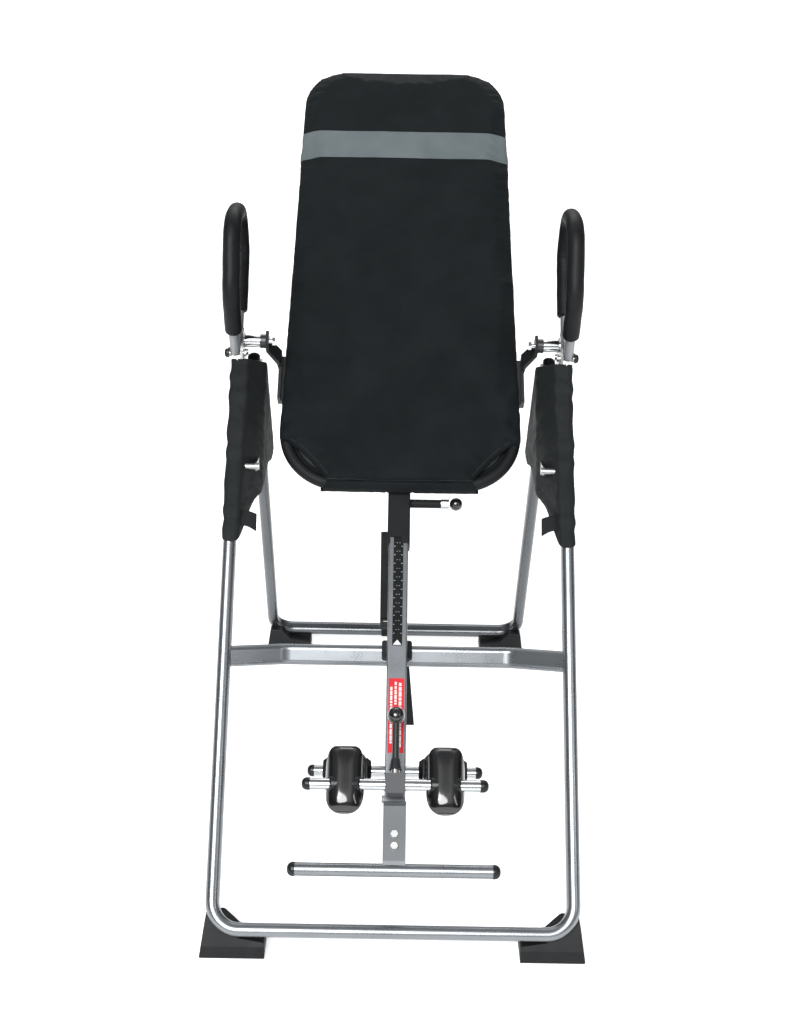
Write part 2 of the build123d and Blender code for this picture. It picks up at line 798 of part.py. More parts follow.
rear_rod = rod_x(beside_bed, [(rear_rod_s, rear_rod_h)], -rod_half + 15, rod_half - 15, rod_d)
save(rear_rod, "rear_rod")
save(end_caps(rear_rod_s, rear_rod_h, rod_half - 2, rod_d, 13), "rear_rod_caps")
with BuildPart() as rear_rod_bracket:
    with BuildSketch(along_bed(rear_rod_h - 16)):
        with Locations((0, rear_rod_s)):
            RectangleRounded(34, 36, 4)
    extrude(amount=boom_under_h - 0.1 - rear_rod_h + 16)
    add(
        rod_x(beside_bed, [(rear_rod_s, rear_rod_h)], -25, 25, rod_d + 0.05),
        mode=Mode.SUBTRACT,
    )
save(rear_rod_bracket.part, "rear_rod_bracket")

# ---- ankle slider ------------------------------------------------------------------------------------
block_half = 18.0
block_low_h = front_rod_h - 16
block_high_h = front_rod_h + 16
with BuildPart() as slider_shaft:
    with BuildSketch(along_bed(boom_under_h - 34)):
        with Locations((0, front_rod_s)):
            Circle(shaft_d / 2)
    extrude(amount=block_low_h - boom_under_h + 34)
save(slider_shaft.part, "slider_shaft")
with BuildPart() as slider_block:
    with BuildSketch(along_bed(block_low_h)):
        with Locations((0, front_rod_s)):
            RectangleRounded(2 * block_half, 2 * block_half, 3)
    extrude(amount=block_high_h - block_low_h)
    add(
        rod_x(beside_bed, [(front_rod_s, front_rod_h)], -25, 25, rod_d + 0.05),
        mode=Mode.SUBTRACT,
    )
save(slider_block.part, "slider_block")
front_rod = rod_x(beside_bed, [(front_rod_s, front_rod_h)], -rod_half + 15, rod_half - 15, rod_d)
save(front_rod, "front_rod")
save(end_caps(front_rod_s, front_rod_h, rod_half, rod_d, 15), "front_rod_caps")

neck_low = front_rod_s + block_half
boot_low = neck_low + 9
boot_high = boot_low + 20
lever_s = -750.0
with BuildPart() as lever_guide:
    with BuildSketch(across_bed(neck_low, front_rod_h)):
        Circle(8)
        Circle(3 + running_gap, mode=Mode.SUBTRACT)
    extrude(amount=9)
save(lever_guide.part, "lever_guide")
with BuildPart() as lock_lever:
    with BuildSketch(across_bed(neck_low + 1, front_rod_h)):
        Circle(3)
    extrude(amount=boot_low + 2 - neck_low)
    with BuildSketch(across_bed(boot_low + 0.5, front_rod_h)):
        Circle(12)
    extrude(amount=boot_high - boot_low - 0.5, taper=10)
    with BuildSketch(across_bed(boot_high, front_rod_h)):
        Circle(6.5)
    extrude(amount=lever_s - boot_high)
save(lock_lever.part, "lock_lever")
with BuildPart() as lock_ball:
    with Locations(table_at(0, lever_s, front_rod_h)):
        Sphere(16)
    add(lock_lever.part, mode=Mode.SUBTRACT)
save(lock_ball.part, "lock_ball")


# ---- ankle cups --------------------------------------------------------------------------------------
def ankle_cup(x, rod_s, rod_h, half_width, above, below, face):
    """A curved shell across the ankle, on a hub round its rod. face 1 bulges to the front."""
    thick = 11.0
    bulge = half_width + 4.0
    centre_h = -face * (bulge - 14.0)
    with BuildPart() as cup:
        with BuildSketch(across_bed(rod_s - below, rod_h)):
            with Locations((x, -centre_h)):
                Circle(bulge)
                Circle(bulge - thick, mode=Mode.SUBTRACT)
            with Locations((x, face * (bulge + 12))):
                Rectangle(4 * bulge, 2 * bulge, mode=Mode.SUBTRACT)
        extrude(amount=above + below)
        fillet(cup.edges().filter_by(GeomType.CIRCLE), 3)
        with BuildSketch(beside_bed(x - half_width + 8)):
            with Locations((rod_s, rod_h)):
                Circle(rod_d / 2 + 5)
        extrude(amount=2 * half_width - 16)
        add(
            rod_x(beside_bed, [(rod_s, rod_h)], x - 80, x + 80, rod_d + 2 * running_gap),
            mode=Mode.SUBTRACT,
        )
    return cup.part


for name, side in (("left", -1), ("right", 1)):
    save(
        ankle_cup(side * cup_x, front_rod_s, front_rod_h, 33, 72, 52, 1),
        f"front_cup_{name}",
    )
    save(
        ankle_cup(side * cup_x, rear_rod_s, rear_rod_h, 38, 40, 40, -1),
        f"rear_cup_{name}",
    )

# ---- tether strap ------------------------------------------------------------------------------------
strap_exit = world_spot(table_at(0, -345, -153))
buckle_z = 360.0
buckle_y = front_bar_y + 592.0
buckle_high = 24.0
buckle_wide = 54.0
buckle_slot = 12.6  # strap ends, above and below the buckle's middle
floor_lift = strap_thick / 2 + 0.3


def strap_run(points, x, lean=0.0):
    """Webbing along a rounded route of world Y and Z, flat across X. It moves to +X by lean as it falls."""
    route = [Vector(x + lean * (points[0][1] - z), y, z) for y, z in points]
    runs = [(b - a).length for a, b in zip(route, route[1:])]
    radii = []
    for i in range(1, len(route) - 1):
        turn = (route[i] - route[i - 1]).get_angle(route[i + 1] - route[i])
        shorter = min(runs[i - 1], runs[i])
        radii.append(0.45 * shorter / (sin(radians(turn / 2)) / cos(radians(turn / 2))))
    print("strap radii", [round(r) for r in radii])
    with BuildPart() as strap:
        with BuildLine() as path:
            FilletPolyline(*route, radius=radii)
        with BuildSketch(Plane(origin=path.line @ 0, x_dir=(1, 0, 0), z_dir=path.line % 0)):
            Rectangle(strap_width, strap_thick)
        sweep()
    print("strap length", round(path.wire().length), "volume", round(strap.part.volume))
    return strap.part


upper_route = [
    strap_exit,
    (front_bar_y + 568, 530),
    (front_bar_y + 584, 450),
    (buckle_y, buckle_z + buckle_slot),
]
lower_route = [
    (buckle_y, buckle_z - buckle_slot),
    (front_bar_y + 598, 240),
    (front_bar_y + 622, 130),
    (front_bar_y + 690, 45),
    (front_bar_y + 780, 9),
    (front_bar_y + 850, floor_lift),
    (front_bar_y + 900, floor_lift + 0.1),
]
save(strap_run(upper_route, strap_x), "strap_upper")
save(strap_run(lower_route, lower_strap_x), "strap_lower")
rear_route = [
    (front_bar_y + 903.5, floor_lift + 0.1),
    (front_bar_y + 962, floor_lift),
    (front_bar_y + 1040, floor_lift + 0.6),
    (front_bar_y + 1085, 8),
    (front_bar_y + 1121, 22),
]
save(strap_run(rear_route, lower_strap_x), "strap_rear")
tail_route = [
    (buckle_y - 8, buckle_z - 14),
    (buckle_y - 15, buckle_z - 120),
    (buckle_y - 6, buckle_z - 240),
]
tail_lean = 0.09
save(strap_run(tail_route, lower_strap_x, tail_lean), "strap_tail")

buckle_x = strap_x + 8
buckle_top = Plane(origin=(buckle_x, buckle_y, buckle_z - buckle_high / 2))
buckle_back = Plane(origin=(buckle_x, buckle_y + 5, buckle_z), x_dir=(1, 0, 0), z_dir=(0, -1, 0))
with BuildPart() as strap_buckle:
    with BuildSketch(buckle_top):
        RectangleRounded(buckle_wide, 6, 2)
    extrude(amount=buckle_high)
    with BuildSketch(buckle_back):
        with Locations((0, 6.5), (0, -6.5)):
            Rectangle(buckle_wide - 14, 4)
    extrude(amount=10, mode=Mode.SUBTRACT)
save(strap_buckle.part, "strap_buckle")

loop_turn = 27.5  # degrees, in line with the rear bar's section
loop_wide = 56.0
with BuildPart() as strap_loop:
    with BuildSketch(beside_floor(strap_x - strap_width / 2)):
        with Locations(world_spot(rear_bar)):
            SlotOverall(tube_depth + 6, tube_width + 6, rotation=loop_turn)
            SlotOverall(tube_depth + 1, tube_width + 1, rotation=loop_turn, mode=Mode.SUBTRACT)
    extrude(amount=loop_wide)
save(strap_loop.part, "strap_loop")
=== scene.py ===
"""Looks of a folding inversion table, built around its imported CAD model.

Metres, in the CAD model's own frame: +Z is up, +Y runs from the foot bar to the bed's head, and +X is to the
right of a person who faces the bed. Places are worked out from the pivot, the hinge and the joints' axes.
"""

import json
import math
import random

import bmesh
import bpy
from mathutils import Matrix, Vector, noise
from mathutils.bvhtree import BVHTree


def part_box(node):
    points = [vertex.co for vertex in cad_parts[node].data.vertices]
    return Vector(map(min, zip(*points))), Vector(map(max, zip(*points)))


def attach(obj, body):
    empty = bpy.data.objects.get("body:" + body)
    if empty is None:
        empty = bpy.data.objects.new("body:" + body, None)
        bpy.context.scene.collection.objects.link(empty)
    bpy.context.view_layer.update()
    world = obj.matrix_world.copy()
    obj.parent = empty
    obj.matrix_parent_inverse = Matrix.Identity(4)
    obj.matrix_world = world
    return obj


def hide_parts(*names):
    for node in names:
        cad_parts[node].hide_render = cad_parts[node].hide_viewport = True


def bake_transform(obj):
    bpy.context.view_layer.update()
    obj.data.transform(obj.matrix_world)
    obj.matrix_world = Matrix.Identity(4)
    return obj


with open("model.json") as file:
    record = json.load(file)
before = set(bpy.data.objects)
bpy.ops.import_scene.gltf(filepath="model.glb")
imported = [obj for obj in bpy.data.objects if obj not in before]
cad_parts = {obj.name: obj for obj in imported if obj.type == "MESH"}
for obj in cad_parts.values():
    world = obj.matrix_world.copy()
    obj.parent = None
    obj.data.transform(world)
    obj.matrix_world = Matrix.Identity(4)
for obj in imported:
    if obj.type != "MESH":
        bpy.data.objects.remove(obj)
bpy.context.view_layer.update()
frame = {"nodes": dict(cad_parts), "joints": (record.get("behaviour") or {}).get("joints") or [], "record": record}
nodes = frame["nodes"]
joints = {joint["name"]: joint for joint in frame["joints"]}
scene = bpy.context.scene

# ---- places and sizes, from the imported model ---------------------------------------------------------
x_axis = Vector((1, 0, 0))
pivot = Vector(joints["table_rotation"]["pos_m"])
hinge = Vector(joints["rear_fold"]["pos_m"])
front_brace_spot = Vector(joints["front_brace_turn"]["pos_m"])
rear_brace_spot = Vector(joints["rear_brace_turn"]["pos_m"])
bed_dir = -Vector(joints["boom_slide"]["axis"]).normalized()
bed_front = Vector(joints["ankle_slide"]["axis"]).normalized()
leg_dir = (pivot - front_brace_spot).normalized()
leg_front = Vector((0, -leg_dir.z, leg_dir.y))
rear_dir = (hinge - rear_brace_spot).normalized()
pivot_up_leg = 1.130
front_bar = pivot - leg_dir * pivot_up_leg

tube_h = -0.091  # the bed tube's plane, behind the pivot
tube_r = 0.0125
bed_bottom = -0.271
bed_top = 0.757
bed_half_bottom = 0.232
bed_half_top = 0.210
bed_corner_bottom = 0.112
bed_corner_top = 0.080
band_low = 0.513
band_high = 0.585
boom_top_h = -0.107
rod_r = 0.0105


def table_at(x, s, h):
    """A point x across, s up the bed from the pivot and h in front of the pivot's plane."""
    return pivot + x_axis * x + bed_dir * s + bed_front * h


def leg_at(x, up, forward):
    """A point x across, up a front leg from the floor bar and forward of its axis."""
    return front_bar + x_axis * x + leg_dir * up + leg_front * forward


def bed_half(s, grow=0.0):
    """Half the bed's width at s, at the tube's axis plus grow."""
    share = (s - bed_bottom) / (bed_top - bed_bottom)
    return bed_half_bottom + (bed_half_top - bed_half_bottom) * share + grow


# ---- camera ------------------------------------------------------------------------------------------
camera_back = 2.0367  # in front of the front floor bar
camera_height = 1.7445
camera_turns = (("Z", -0.227), ("X", 66.75), ("Z", 1.086))

camera_data = bpy.data.cameras.new("camera")
camera_data.lens = 49.84
camera_data.sensor_width = 36.0
camera = bpy.data.objects.new("camera", camera_data)
scene.collection.objects.link(camera)
camera_matrix = Matrix.Translation((-0.0153, front_bar.y - camera_back, camera_height))
for axis, degrees in camera_turns:
    camera_matrix = camera_matrix @ Matrix.Rotation(math.radians(degrees), 4, axis)
camera.matrix_world = camera_matrix
scene.camera = camera


# ---- material helpers --------------------------------------------------------------------------------
def new_material(name, color, roughness, metallic=0.0, **sockets):
    """A Principled material, its tree and its shader node. sockets sets more inputs by name."""
    material = bpy.data.materials.new(name)
    material.use_nodes = True
    tree = material.node_tree
    surface = tree.nodes["Principled BSDF"]
    surface.inputs["Base Color"].default_value = (*color, 1)
    surface.inputs["Roughness"].default_value = roughness
    surface.inputs["Metallic"].default_value = metallic
    for key, value in sockets.items():
        surface.inputs[key.replace("_", " ")].default_value = value
    return material, tree, surface


def place_of(tree, turn=0.0, scale=(1, 1, 1)):
    """The point on the object, turned about X and scaled."""
    where = tree.nodes.new("ShaderNodeTexCoord")
    mapping = tree.nodes.new("ShaderNodeMapping")
    mapping.inputs["Rotation"].default_value = (turn, 0, 0)
    mapping.inputs["Scale"].default_value = scale
    tree.links.new(where.outputs["Object"], mapping.inputs["Vector"])
    return mapping.outputs["Vector"]


def noise_of(tree, place, scale, detail):
    """Soft noise from 0 to 1."""
    node = tree.nodes.new("ShaderNodeTexNoise")
    node.inputs["Scale"].default_value = scale
    node.inputs["Detail"].default_value = detail
    tree.links.new(place, node.inputs["Vector"])
    return node.outputs["Fac"]


def wave_of(tree, place, period, direction):
    """A sine ridge of one period along an axis."""
    node = tree.nodes.new("ShaderNodeTexWave")
    node.bands_direction = direction
    node.inputs["Scale"].default_value = math.pi / 10 / period
    node.inputs["Distortion"].default_value = 0.0
    tree.links.new(place, node.inputs["Vector"])
    return node.outputs["Fac"]


def math_of(tree, operation, first, second):
    """One Math node of two sockets or numbers."""
    node = tree.nodes.new("ShaderNodeMath")
    node.operation = operation
    for socket, value in zip(node.inputs, (first, second)):
        if isinstance(value, (int, float)):
            socket.default_value = value
        else:
            tree.links.new(value, socket)
    return node.outputs[0]


def ramp_of(tree, factor, low, high, start=0.3, end=0.7):
    """A colour from low to high as factor goes from start to end."""
    node = tree.nodes.new("ShaderNodeValToRGB")
    node.color_ramp.elements[0].position = start
    node.color_ramp.elements[1].position = end
    node.color_ramp.elements[0].color = (*low, 1)
    node.color_ramp.elements[1].color = (*high, 1)
    tree.links.new(factor, node.inputs["Fac"])
    return node.outputs["Color"]


def range_of(tree, factor, low, high):
    """factor from 0 to 1 as a number from low to high."""
    node = tree.nodes.new("ShaderNodeMapRange")
    node.inputs["To Min"].default_value = low
    node.inputs["To Max"].default_value = high
    tree.links.new(factor, node.inputs["Value"])
    return node.outputs["Result"]


def bump_on(tree, surface, height, distance, strength=1.0):
    """Add a bump on top of any bump that the surface has."""
    node = tree.nodes.new("ShaderNodeBump")
    node.inputs["Distance"].default_value = distance
    node.inputs["Strength"].default_value = strength
    tree.links.new(height, node.inputs["Height"])
    if surface.inputs["Normal"].links:
        before = surface.inputs["Normal"].links[0].from_socket
        tree.links.new(before, node.inputs["Normal"])
    tree.links.new(node.outputs["Normal"], surface.inputs["Normal"])


def mottled(tree, surface, place, low, high, scale):
    """Vary the base colour softly."""
    color = ramp_of(tree, noise_of(tree, place, scale, 4), low, high)
    tree.links.new(color, surface.inputs["Base Color"])


# ---- materials ---------------------------------------------------------------------------------------
bed_turn = -math.atan2(bed_dir.z, bed_dir.y)  # turns the bed's plane flat


def painted_steel(name, low, high, metallic, roughness, coat=0.0):
    """Painted steel: faint waves, slightly uneven gloss and tone."""
    material, tree, surface = new_material(
        name, low, roughness, metallic, Coat_Weight=coat, Coat_Roughness=0.25
    )
    place = place_of(tree)
    mottled(tree, surface, place, low, high, 9.0)
    gloss = range_of(tree, noise_of(tree, place, 26, 5), roughness - 0.05, roughness + 0.07)
    tree.links.new(gloss, surface.inputs["Roughness"])
    bump_on(tree, surface, noise_of(tree, place, 30, 2), 0.0002, 0.03)
    return material


def plated_steel(name, low, high, roughness, streak=0.25):
    """Zinc or chrome plate, with faint streaks and smudges."""
    material, tree, surface = new_material(name, low, roughness, 1.0)
    place = place_of(tree)
    mottled(tree, surface, place, low, high, 60.0)
    streaks = noise_of(tree, place_of(tree, scale=(40, 700, 700)), 1.0, 2)
    gloss = range_of(tree, noise_of(tree, place, 45, 5), roughness * 0.7, roughness * 1.6)
    tree.links.new(gloss, surface.inputs["Roughness"])
    bump_on(tree, surface, streaks, 0.00004, streak)
    return material


def moulded(name, low, high, roughness, grain=0.0, coat=0.0, grain_scale=900.0, shine=0.3):
    """Moulded plastic or rubber, smooth or grained."""
    material, tree, surface = new_material(
        name, low, roughness, Coat_Weight=coat, Coat_Roughness=0.08, Specular_IOR_Level=shine
    )
    place = place_of(tree)
    mottled(tree, surface, place, low, high, 30.0)
    gloss = range_of(tree, noise_of(tree, place, 18, 6), roughness * 0.8, min(1.0, roughness * 1.35))
    tree.links.new(gloss, surface.inputs["Roughness"])
    bump_on(tree, surface, noise_of(tree, place, 40, 3), 0.0006, 0.12)
    if grain:
        bump_on(tree, surface, noise_of(tree, place, grain_scale, 3), 0.0003, grain)
    return material


def foam_rubber(name):
    """Closed-cell foam: matt, with fine cells and a few pores."""
    material, tree, surface = new_material(
        name, (0.012, 0.013, 0.015), 0.50, Specular_IOR_Level=0.16
    )
    place = place_of(tree)
    mottled(tree, surface, place, (0.003, 0.0035, 0.004), (0.006, 0.0068, 0.008), 22.0)
    cells = tree.nodes.new("ShaderNodeTexVoronoi")
    cells.inputs["Scale"].default_value = 620.0
    tree.links.new(place, cells.inputs["Vector"])
    bump_on(tree, surface, cells.outputs["Distance"], 0.0004, 0.35)
    bump_on(tree, surface, noise_of(tree, place, 90, 3), 0.0012, 0.25)
    return material


def woven(name, low, high, period, turn, shine=0.09, axes="XY"):
    """Plain-woven cloth: crossing threads, mottled dye, a soft sheen."""
    roughness = 0.72
    thread_height = 0.00035
    material, tree, surface = new_material(
        name, low, roughness, Sheen_Weight=0.02, Sheen_Roughness=0.45, Specular_IOR_Level=shine
    )
    place = place_of(tree, turn)
    warp = wave_of(tree, place, period, axes[0])
    weft = wave_of(tree, place, period, axes[1])
    threads = math_of(tree, "MULTIPLY", warp, weft)
    faint_threads = math_of(tree, "MULTIPLY", threads, 0.35)
    tone = math_of(tree, "ADD", faint_threads, noise_of(tree, place, 14, 6))
    tree.links.new(ramp_of(tree, tone, low, high, 0.35, 0.95), surface.inputs["Base Color"])
    gloss = range_of(tree, noise_of(tree, place, 8, 4), roughness - 0.08, roughness + 0.1)
    tree.links.new(gloss, surface.inputs["Roughness"])
    bump_on(tree, surface, noise_of(tree, place, 16, 5), 0.004, 0.12)
    bump_on(tree, surface, threads, thread_height, 0.6)
    return material


black_low = (0.0032, 0.0045, 0.0052)
black_high = (0.0062, 0.0084, 0.0094)
leg_turn = -math.atan2(leg_dir.z, leg_dir.y)
finish = {
    "silver_tube": painted_steel("silver_paint", (0.20, 0.215, 0.23), (0.24, 0.255, 0.27), 0.9, 0.27),
    # Silver paint made darker for the rear frame's tubes: painted shade on the same paint, not a different finish.
    "silver_in_painted_shade": painted_steel(
        "silver_painted_shade_paint", (0.105, 0.112, 0.12), (0.13, 0.138, 0.147), 0.9, 0.27
    ),
    "black_steel": painted_steel(
        "black_paint", (0.005, 0.006, 0.007), (0.010, 0.011, 0.012), 0.0, 0.36, 0.1
    ),
    # Silver paint made darker and rougher for the foot bracket: painted shade that keeps the lamps from washing it
    # out.
    "bracket_in_painted_shade": painted_steel("bracket_shade_painted", (0.085, 0.090, 0.096), (0.11, 0.115, 0.122), 0.6, 0.42),
    "satin_black": moulded(
        "satin_black_paint", (0.003, 0.004, 0.0045), (0.006, 0.007, 0.008), 0.55, shine=0.18
    ),
    "dark_grey": painted_steel("dark_grey_paint", (0.040, 0.043, 0.047), (0.058, 0.061, 0.066), 0.3, 0.42),
    "zinc": plated_steel("zinc_plate", (0.36, 0.37, 0.37), (0.46, 0.46, 0.45), 0.24, 0.4),
    "chrome": plated_steel("chrome_plate", (0.48, 0.50, 0.51), (0.56, 0.58, 0.59), 0.10, 0.15),
    "rubber": moulded("foot_rubber", (0.004, 0.005, 0.006), (0.008, 0.009, 0.010), 0.5, 0.3, shine=0.2),
    "foam": foam_rubber("grip_foam"),
    "handle_steel": painted_steel("handle_paint", (0.19, 0.20, 0.21), (0.24, 0.25, 0.26), 0.6, 0.4),
    "nylon_cover": woven("bed_nylon", black_low, black_high, 0.0016, bed_turn),
    "leg_nylon": woven("leg_nylon", black_low, black_high, 0.0016, leg_turn, 0.22, axes="YZ"),
    "grey_band": woven("band_cloth", (0.075, 0.090, 0.095), (0.110, 0.130, 0.136), 0.0012, bed_turn),
    "board": moulded(
        "back_board_black", (0.008, 0.009, 0.009), (0.014, 0.015, 0.015), 0.6, 0.5, grain_scale=300.0
    ),
    "black_plastic": moulded("black_cap_plastic", (0.004, 0.005, 0.005), (0.008, 0.009, 0.010), 0.30, 0.12),
    "gloss_black": moulded(
        "cup_plastic", (0.003, 0.003, 0.0035), (0.005, 0.0055, 0.006), 0.12, coat=0.6, shine=0.5
    ),
    "scale": moulded("scale_film", (0.004, 0.005, 0.005), (0.007, 0.008, 0.008), 0.5, shine=0.1),
    "label": moulded("sticker_red", (0.46, 0.012, 0.022), (0.55, 0.018, 0.030), 0.4, shine=0.2),
    "marks": moulded("printed_white", (0.50, 0.51, 0.50), (0.62, 0.63, 0.62), 0.5),
    "faint_marks": moulded("printed_grey", (0.20, 0.21, 0.22), (0.34, 0.35, 0.36), 0.45),
    "webbing": woven(
        "strap_webbing", (0.005, 0.006, 0.007), (0.012, 0.013, 0.015), 0.0022, 0.0, 0.15, axes="XZ"
    ),
    "thread": moulded("stitch_thread", (0.028, 0.032, 0.035), (0.045, 0.050, 0.055), 0.6),
}
own_finish = {  # nodes that look unlike the rest of their slot
    "slider_block": "dark_grey",
    # foot bracket: a darker copy of the silver paint, as painted shade
    "foot_bracket": "bracket_in_painted_shade",
    # rear frame: the darker copy of the silver paint, as painted shade
    "rear_frame_tube": "silver_in_painted_shade",
    "bed_tube": "satin_black",
    "bed_cross_tubes": "satin_black",
    "height_sleeve": "satin_black",
    "pin_barrel": "satin_black",
}
for part in frame["record"]["subparts"]:
    node = nodes[part["node"]]
    look = finish[own_finish.get(part["node"], part["material_slot"])]
    if not node.material_slots:
        node.data.materials.append(look)
    for material_slot in node.material_slots:
        material_slot.material = look


# ---- mesh helpers ------------------------------------------------------------------------------------
def new_piece(name, vertices, faces, look, smooth=True):
    """A mesh object in the scene."""
    mesh = bpy.data.meshes.new(name)
    mesh.from_pydata([tuple(v) for v in vertices], [], faces)
    mesh.validate()
    mesh.materials.append(finish[look])
    piece = bpy.data.objects.new(name, mesh)
    scene.collection.objects.link(piece)
    for polygon in mesh.polygons:
        polygon.use_smooth = smooth
    return piece


def lofted(name, rows, look, around=True, along=False, caps=False, smooth=True):
    """A skin over rows of points. around closes each row, along joins the last row to the first."""
    count = len(rows[0])
    vertices = [point for row in rows for point in row]
    faces = []
    for r in range(len(rows) if along else len(rows) - 1):
        low = r * count
        high = (r + 1) % len(rows) * count
        for c in range(count if around else count - 1):
            d = (c + 1) % count
            faces.append((low + c, low + d, high + d, high + c))
    if caps:
        faces.append(tuple(range(count - 1, -1, -1)))
        faces.append(tuple(range(len(vertices) - count, len(vertices))))
    return new_piece(name, vertices, faces, look, smooth)


def made_real(piece):
    """Apply a piece's modifiers to its mesh."""
    bpy.context.view_layer.update()
    graph = bpy.context.evaluated_depsgraph_get()
    mesh = bpy.data.meshes.new_from_object(piece.evaluated_get(graph))
    piece.modifiers.clear()
    piece.data = mesh
    for polygon in mesh.polygons:
        polygon.use_smooth = True
    return piece


def outward(piece):
    """Point every face outwards."""
    work = bmesh.new()
    work.from_mesh(piece.data)
    bmesh.ops.recalc_face_normals(work, faces=work.faces)
    work.to_mesh(piece.data)
    work.free()
    return piece


def thickened(piece, thickness, offset=-1.0):
    """Give a skin a thickness. offset -1 grows it inwards."""
    outward(piece)
    solid = piece.modifiers.new("solid", "SOLIDIFY")
    solid.thickness = thickness
    solid.offset = offset
    solid.use_rim = True
    return made_real(piece)


def softened(piece):
    """One subdivision, applied."""
    modifier = piece.modifiers.new("subdivision", "SUBSURF")
    modifier.levels = 1
    modifier.render_levels = 1
    return made_real(piece)


def rounded_corners(corners, radii, steps=10, closed=True):
    """Points of an outline whose corners are arcs. Ends of an open outline stay sharp."""
    points = []
    last = len(corners) - 1
    for i, corner in enumerate(corners):
        corner = Vector(corner)
        if not closed and i in (0, last):
            points.append(corner)
            continue
        before = (Vector(corners[i - 1]) - corner).normalized()
        after = (Vector(corners[(i + 1) % len(corners)]) - corner).normalized()
        half = before.angle(after) / 2
        if radii[i] <= 0 or half > math.radians(89.5):
            points.append(corner)
            continue
        middle = corner + (before + after).normalized() * (radii[i] / math.sin(half))
        start = corner + before * (radii[i] / math.tan(half)) - middle
        end = corner + after * (radii[i] / math.tan(half)) - middle
        turn = start.angle(end)
        for k in range(steps + 1):
            share = k / steps
            early = math.sin((1 - share) * turn) / math.sin(turn)
            late = math.sin(share * turn) / math.sin(turn)
            points.append(middle + start * early + end * late)
    return points


def evenly(points, spacing, closed=False):
    """Points at an even spacing along a line of points."""
    line = list(points) + ([points[0]] if closed else [])
    lengths = [0.0]
    for a, b in zip(line, line[1:]):
        lengths.append(lengths[-1] + (b - a).length)
    count = max(2, round(lengths[-1] / spacing))
    result = []
    k = 0
    for i in range(count if closed else count + 1):
        target = lengths[-1] * i / count
        while k < len(line) - 2 and lengths[k + 1] < target:
            k += 1
        span = lengths[k + 1] - lengths[k]
        share = (target - lengths[k]) / span if span > 0 else 0.0
        result.append(line[k].lerp(line[k + 1], min(1.0, share)))
    return result


def directions(points):
    """Unit direction of a line at each of its points."""
    result = []
    for i in range(len(points)):
        a = points[max(0, i - 1)]
        b = points[min(len(points) - 1, i + 1)]
        result.append((b - a).normalized())
    return result


# ---- bed cover ---------------------------------------------------------------------------------------
seam_s = -0.277
hem_half = 0.143
cut_side_s = -0.179
corner_cut = (
    (0.149, -0.264),
    (0.160, -0.249),
    (0.170, -0.238),
    (0.183, -0.223),
    (0.199, -0.207),
    (0.222, -0.192),
)
cover_grow = 0.0125
pad_front_h = -0.069
pad_back_h = -0.0815
rim_back_h = -0.1035
rim_width = 0.050
rim_swell = 0.0022
front_swell = 0.0068
voxel = 0.006


def side_outline(top, corner):
    """The cover's right edge from the side cut to the top's middle, as x and s."""
    corners = [
        (bed_half(cut_side_s, cover_grow), cut_side_s),
        (bed_half(top, cover_grow), top),
        (0.0, top),
    ]
    return rounded_corners(corners, [0, corner, 0], 12, closed=False)


def cut_outline():
    """The curved lower right cut, from the hem's end to the side, as x and s."""
    end = (bed_half(cut_side_s, cover_grow), cut_side_s)
    return [Vector(point) for point in ((hem_half, seam_s), *corner_cut, end)]


def prism(outline, low_h, high_h):
    """Points and faces of a slab parallel to the bed."""
    count = len(outline)
    vertices = [table_at(x, s, h) for h in (low_h, high_h) for x, s in outline]
    faces = [tuple(range(count)), tuple(range(2 * count - 1, count - 1, -1))]
    for i in range(count):
        j = (i + 1) % count
        faces.append((i, j, count + j, count + i))
    return vertices, faces


def padded_body():
    """The cover's rough closed body: a slab, and a thicker rim round the side and top tubes."""
    right = cut_outline() + side_outline(bed_top + 0.0015, 0.108)[1:]
    left = [Vector((-p.x, p.y)) for p in reversed(right[:-1])]
    outline = right + left
    body_vertices, body_faces = prism(outline, pad_back_h, pad_front_h)
    edge = side_outline(bed_top + cover_grow, bed_corner_top + cover_grow)
    edge = edge + [Vector((-p.x, p.y)) for p in reversed(edge[:-1])]
    along = directions(edge)
    inner = [p + Vector((-d.y, d.x)) * rim_width for p, d in zip(edge, along)]
    rim = edge + list(reversed(inner))
    rim_vertices, rim_faces = prism(rim, rim_back_h, pad_back_h + 0.002)
    shift = len(body_vertices)
    faces = body_faces + [tuple(i + shift for i in face) for face in rim_faces]
    return new_piece("bed_cover", body_vertices + rim_vertices, faces, "nylon_cover")


def remeshed(piece, size):
    """An even skin over a closed body, softened at its corners."""
    remesh = piece.modifiers.new("remesh", "REMESH")
    remesh.mode = "VOXEL"
    remesh.voxel_size = size
    smooth = piece.modifiers.new("smooth", "SMOOTH")
    smooth.factor = 0.5
    smooth.iterations = 4
    return made_real(piece)


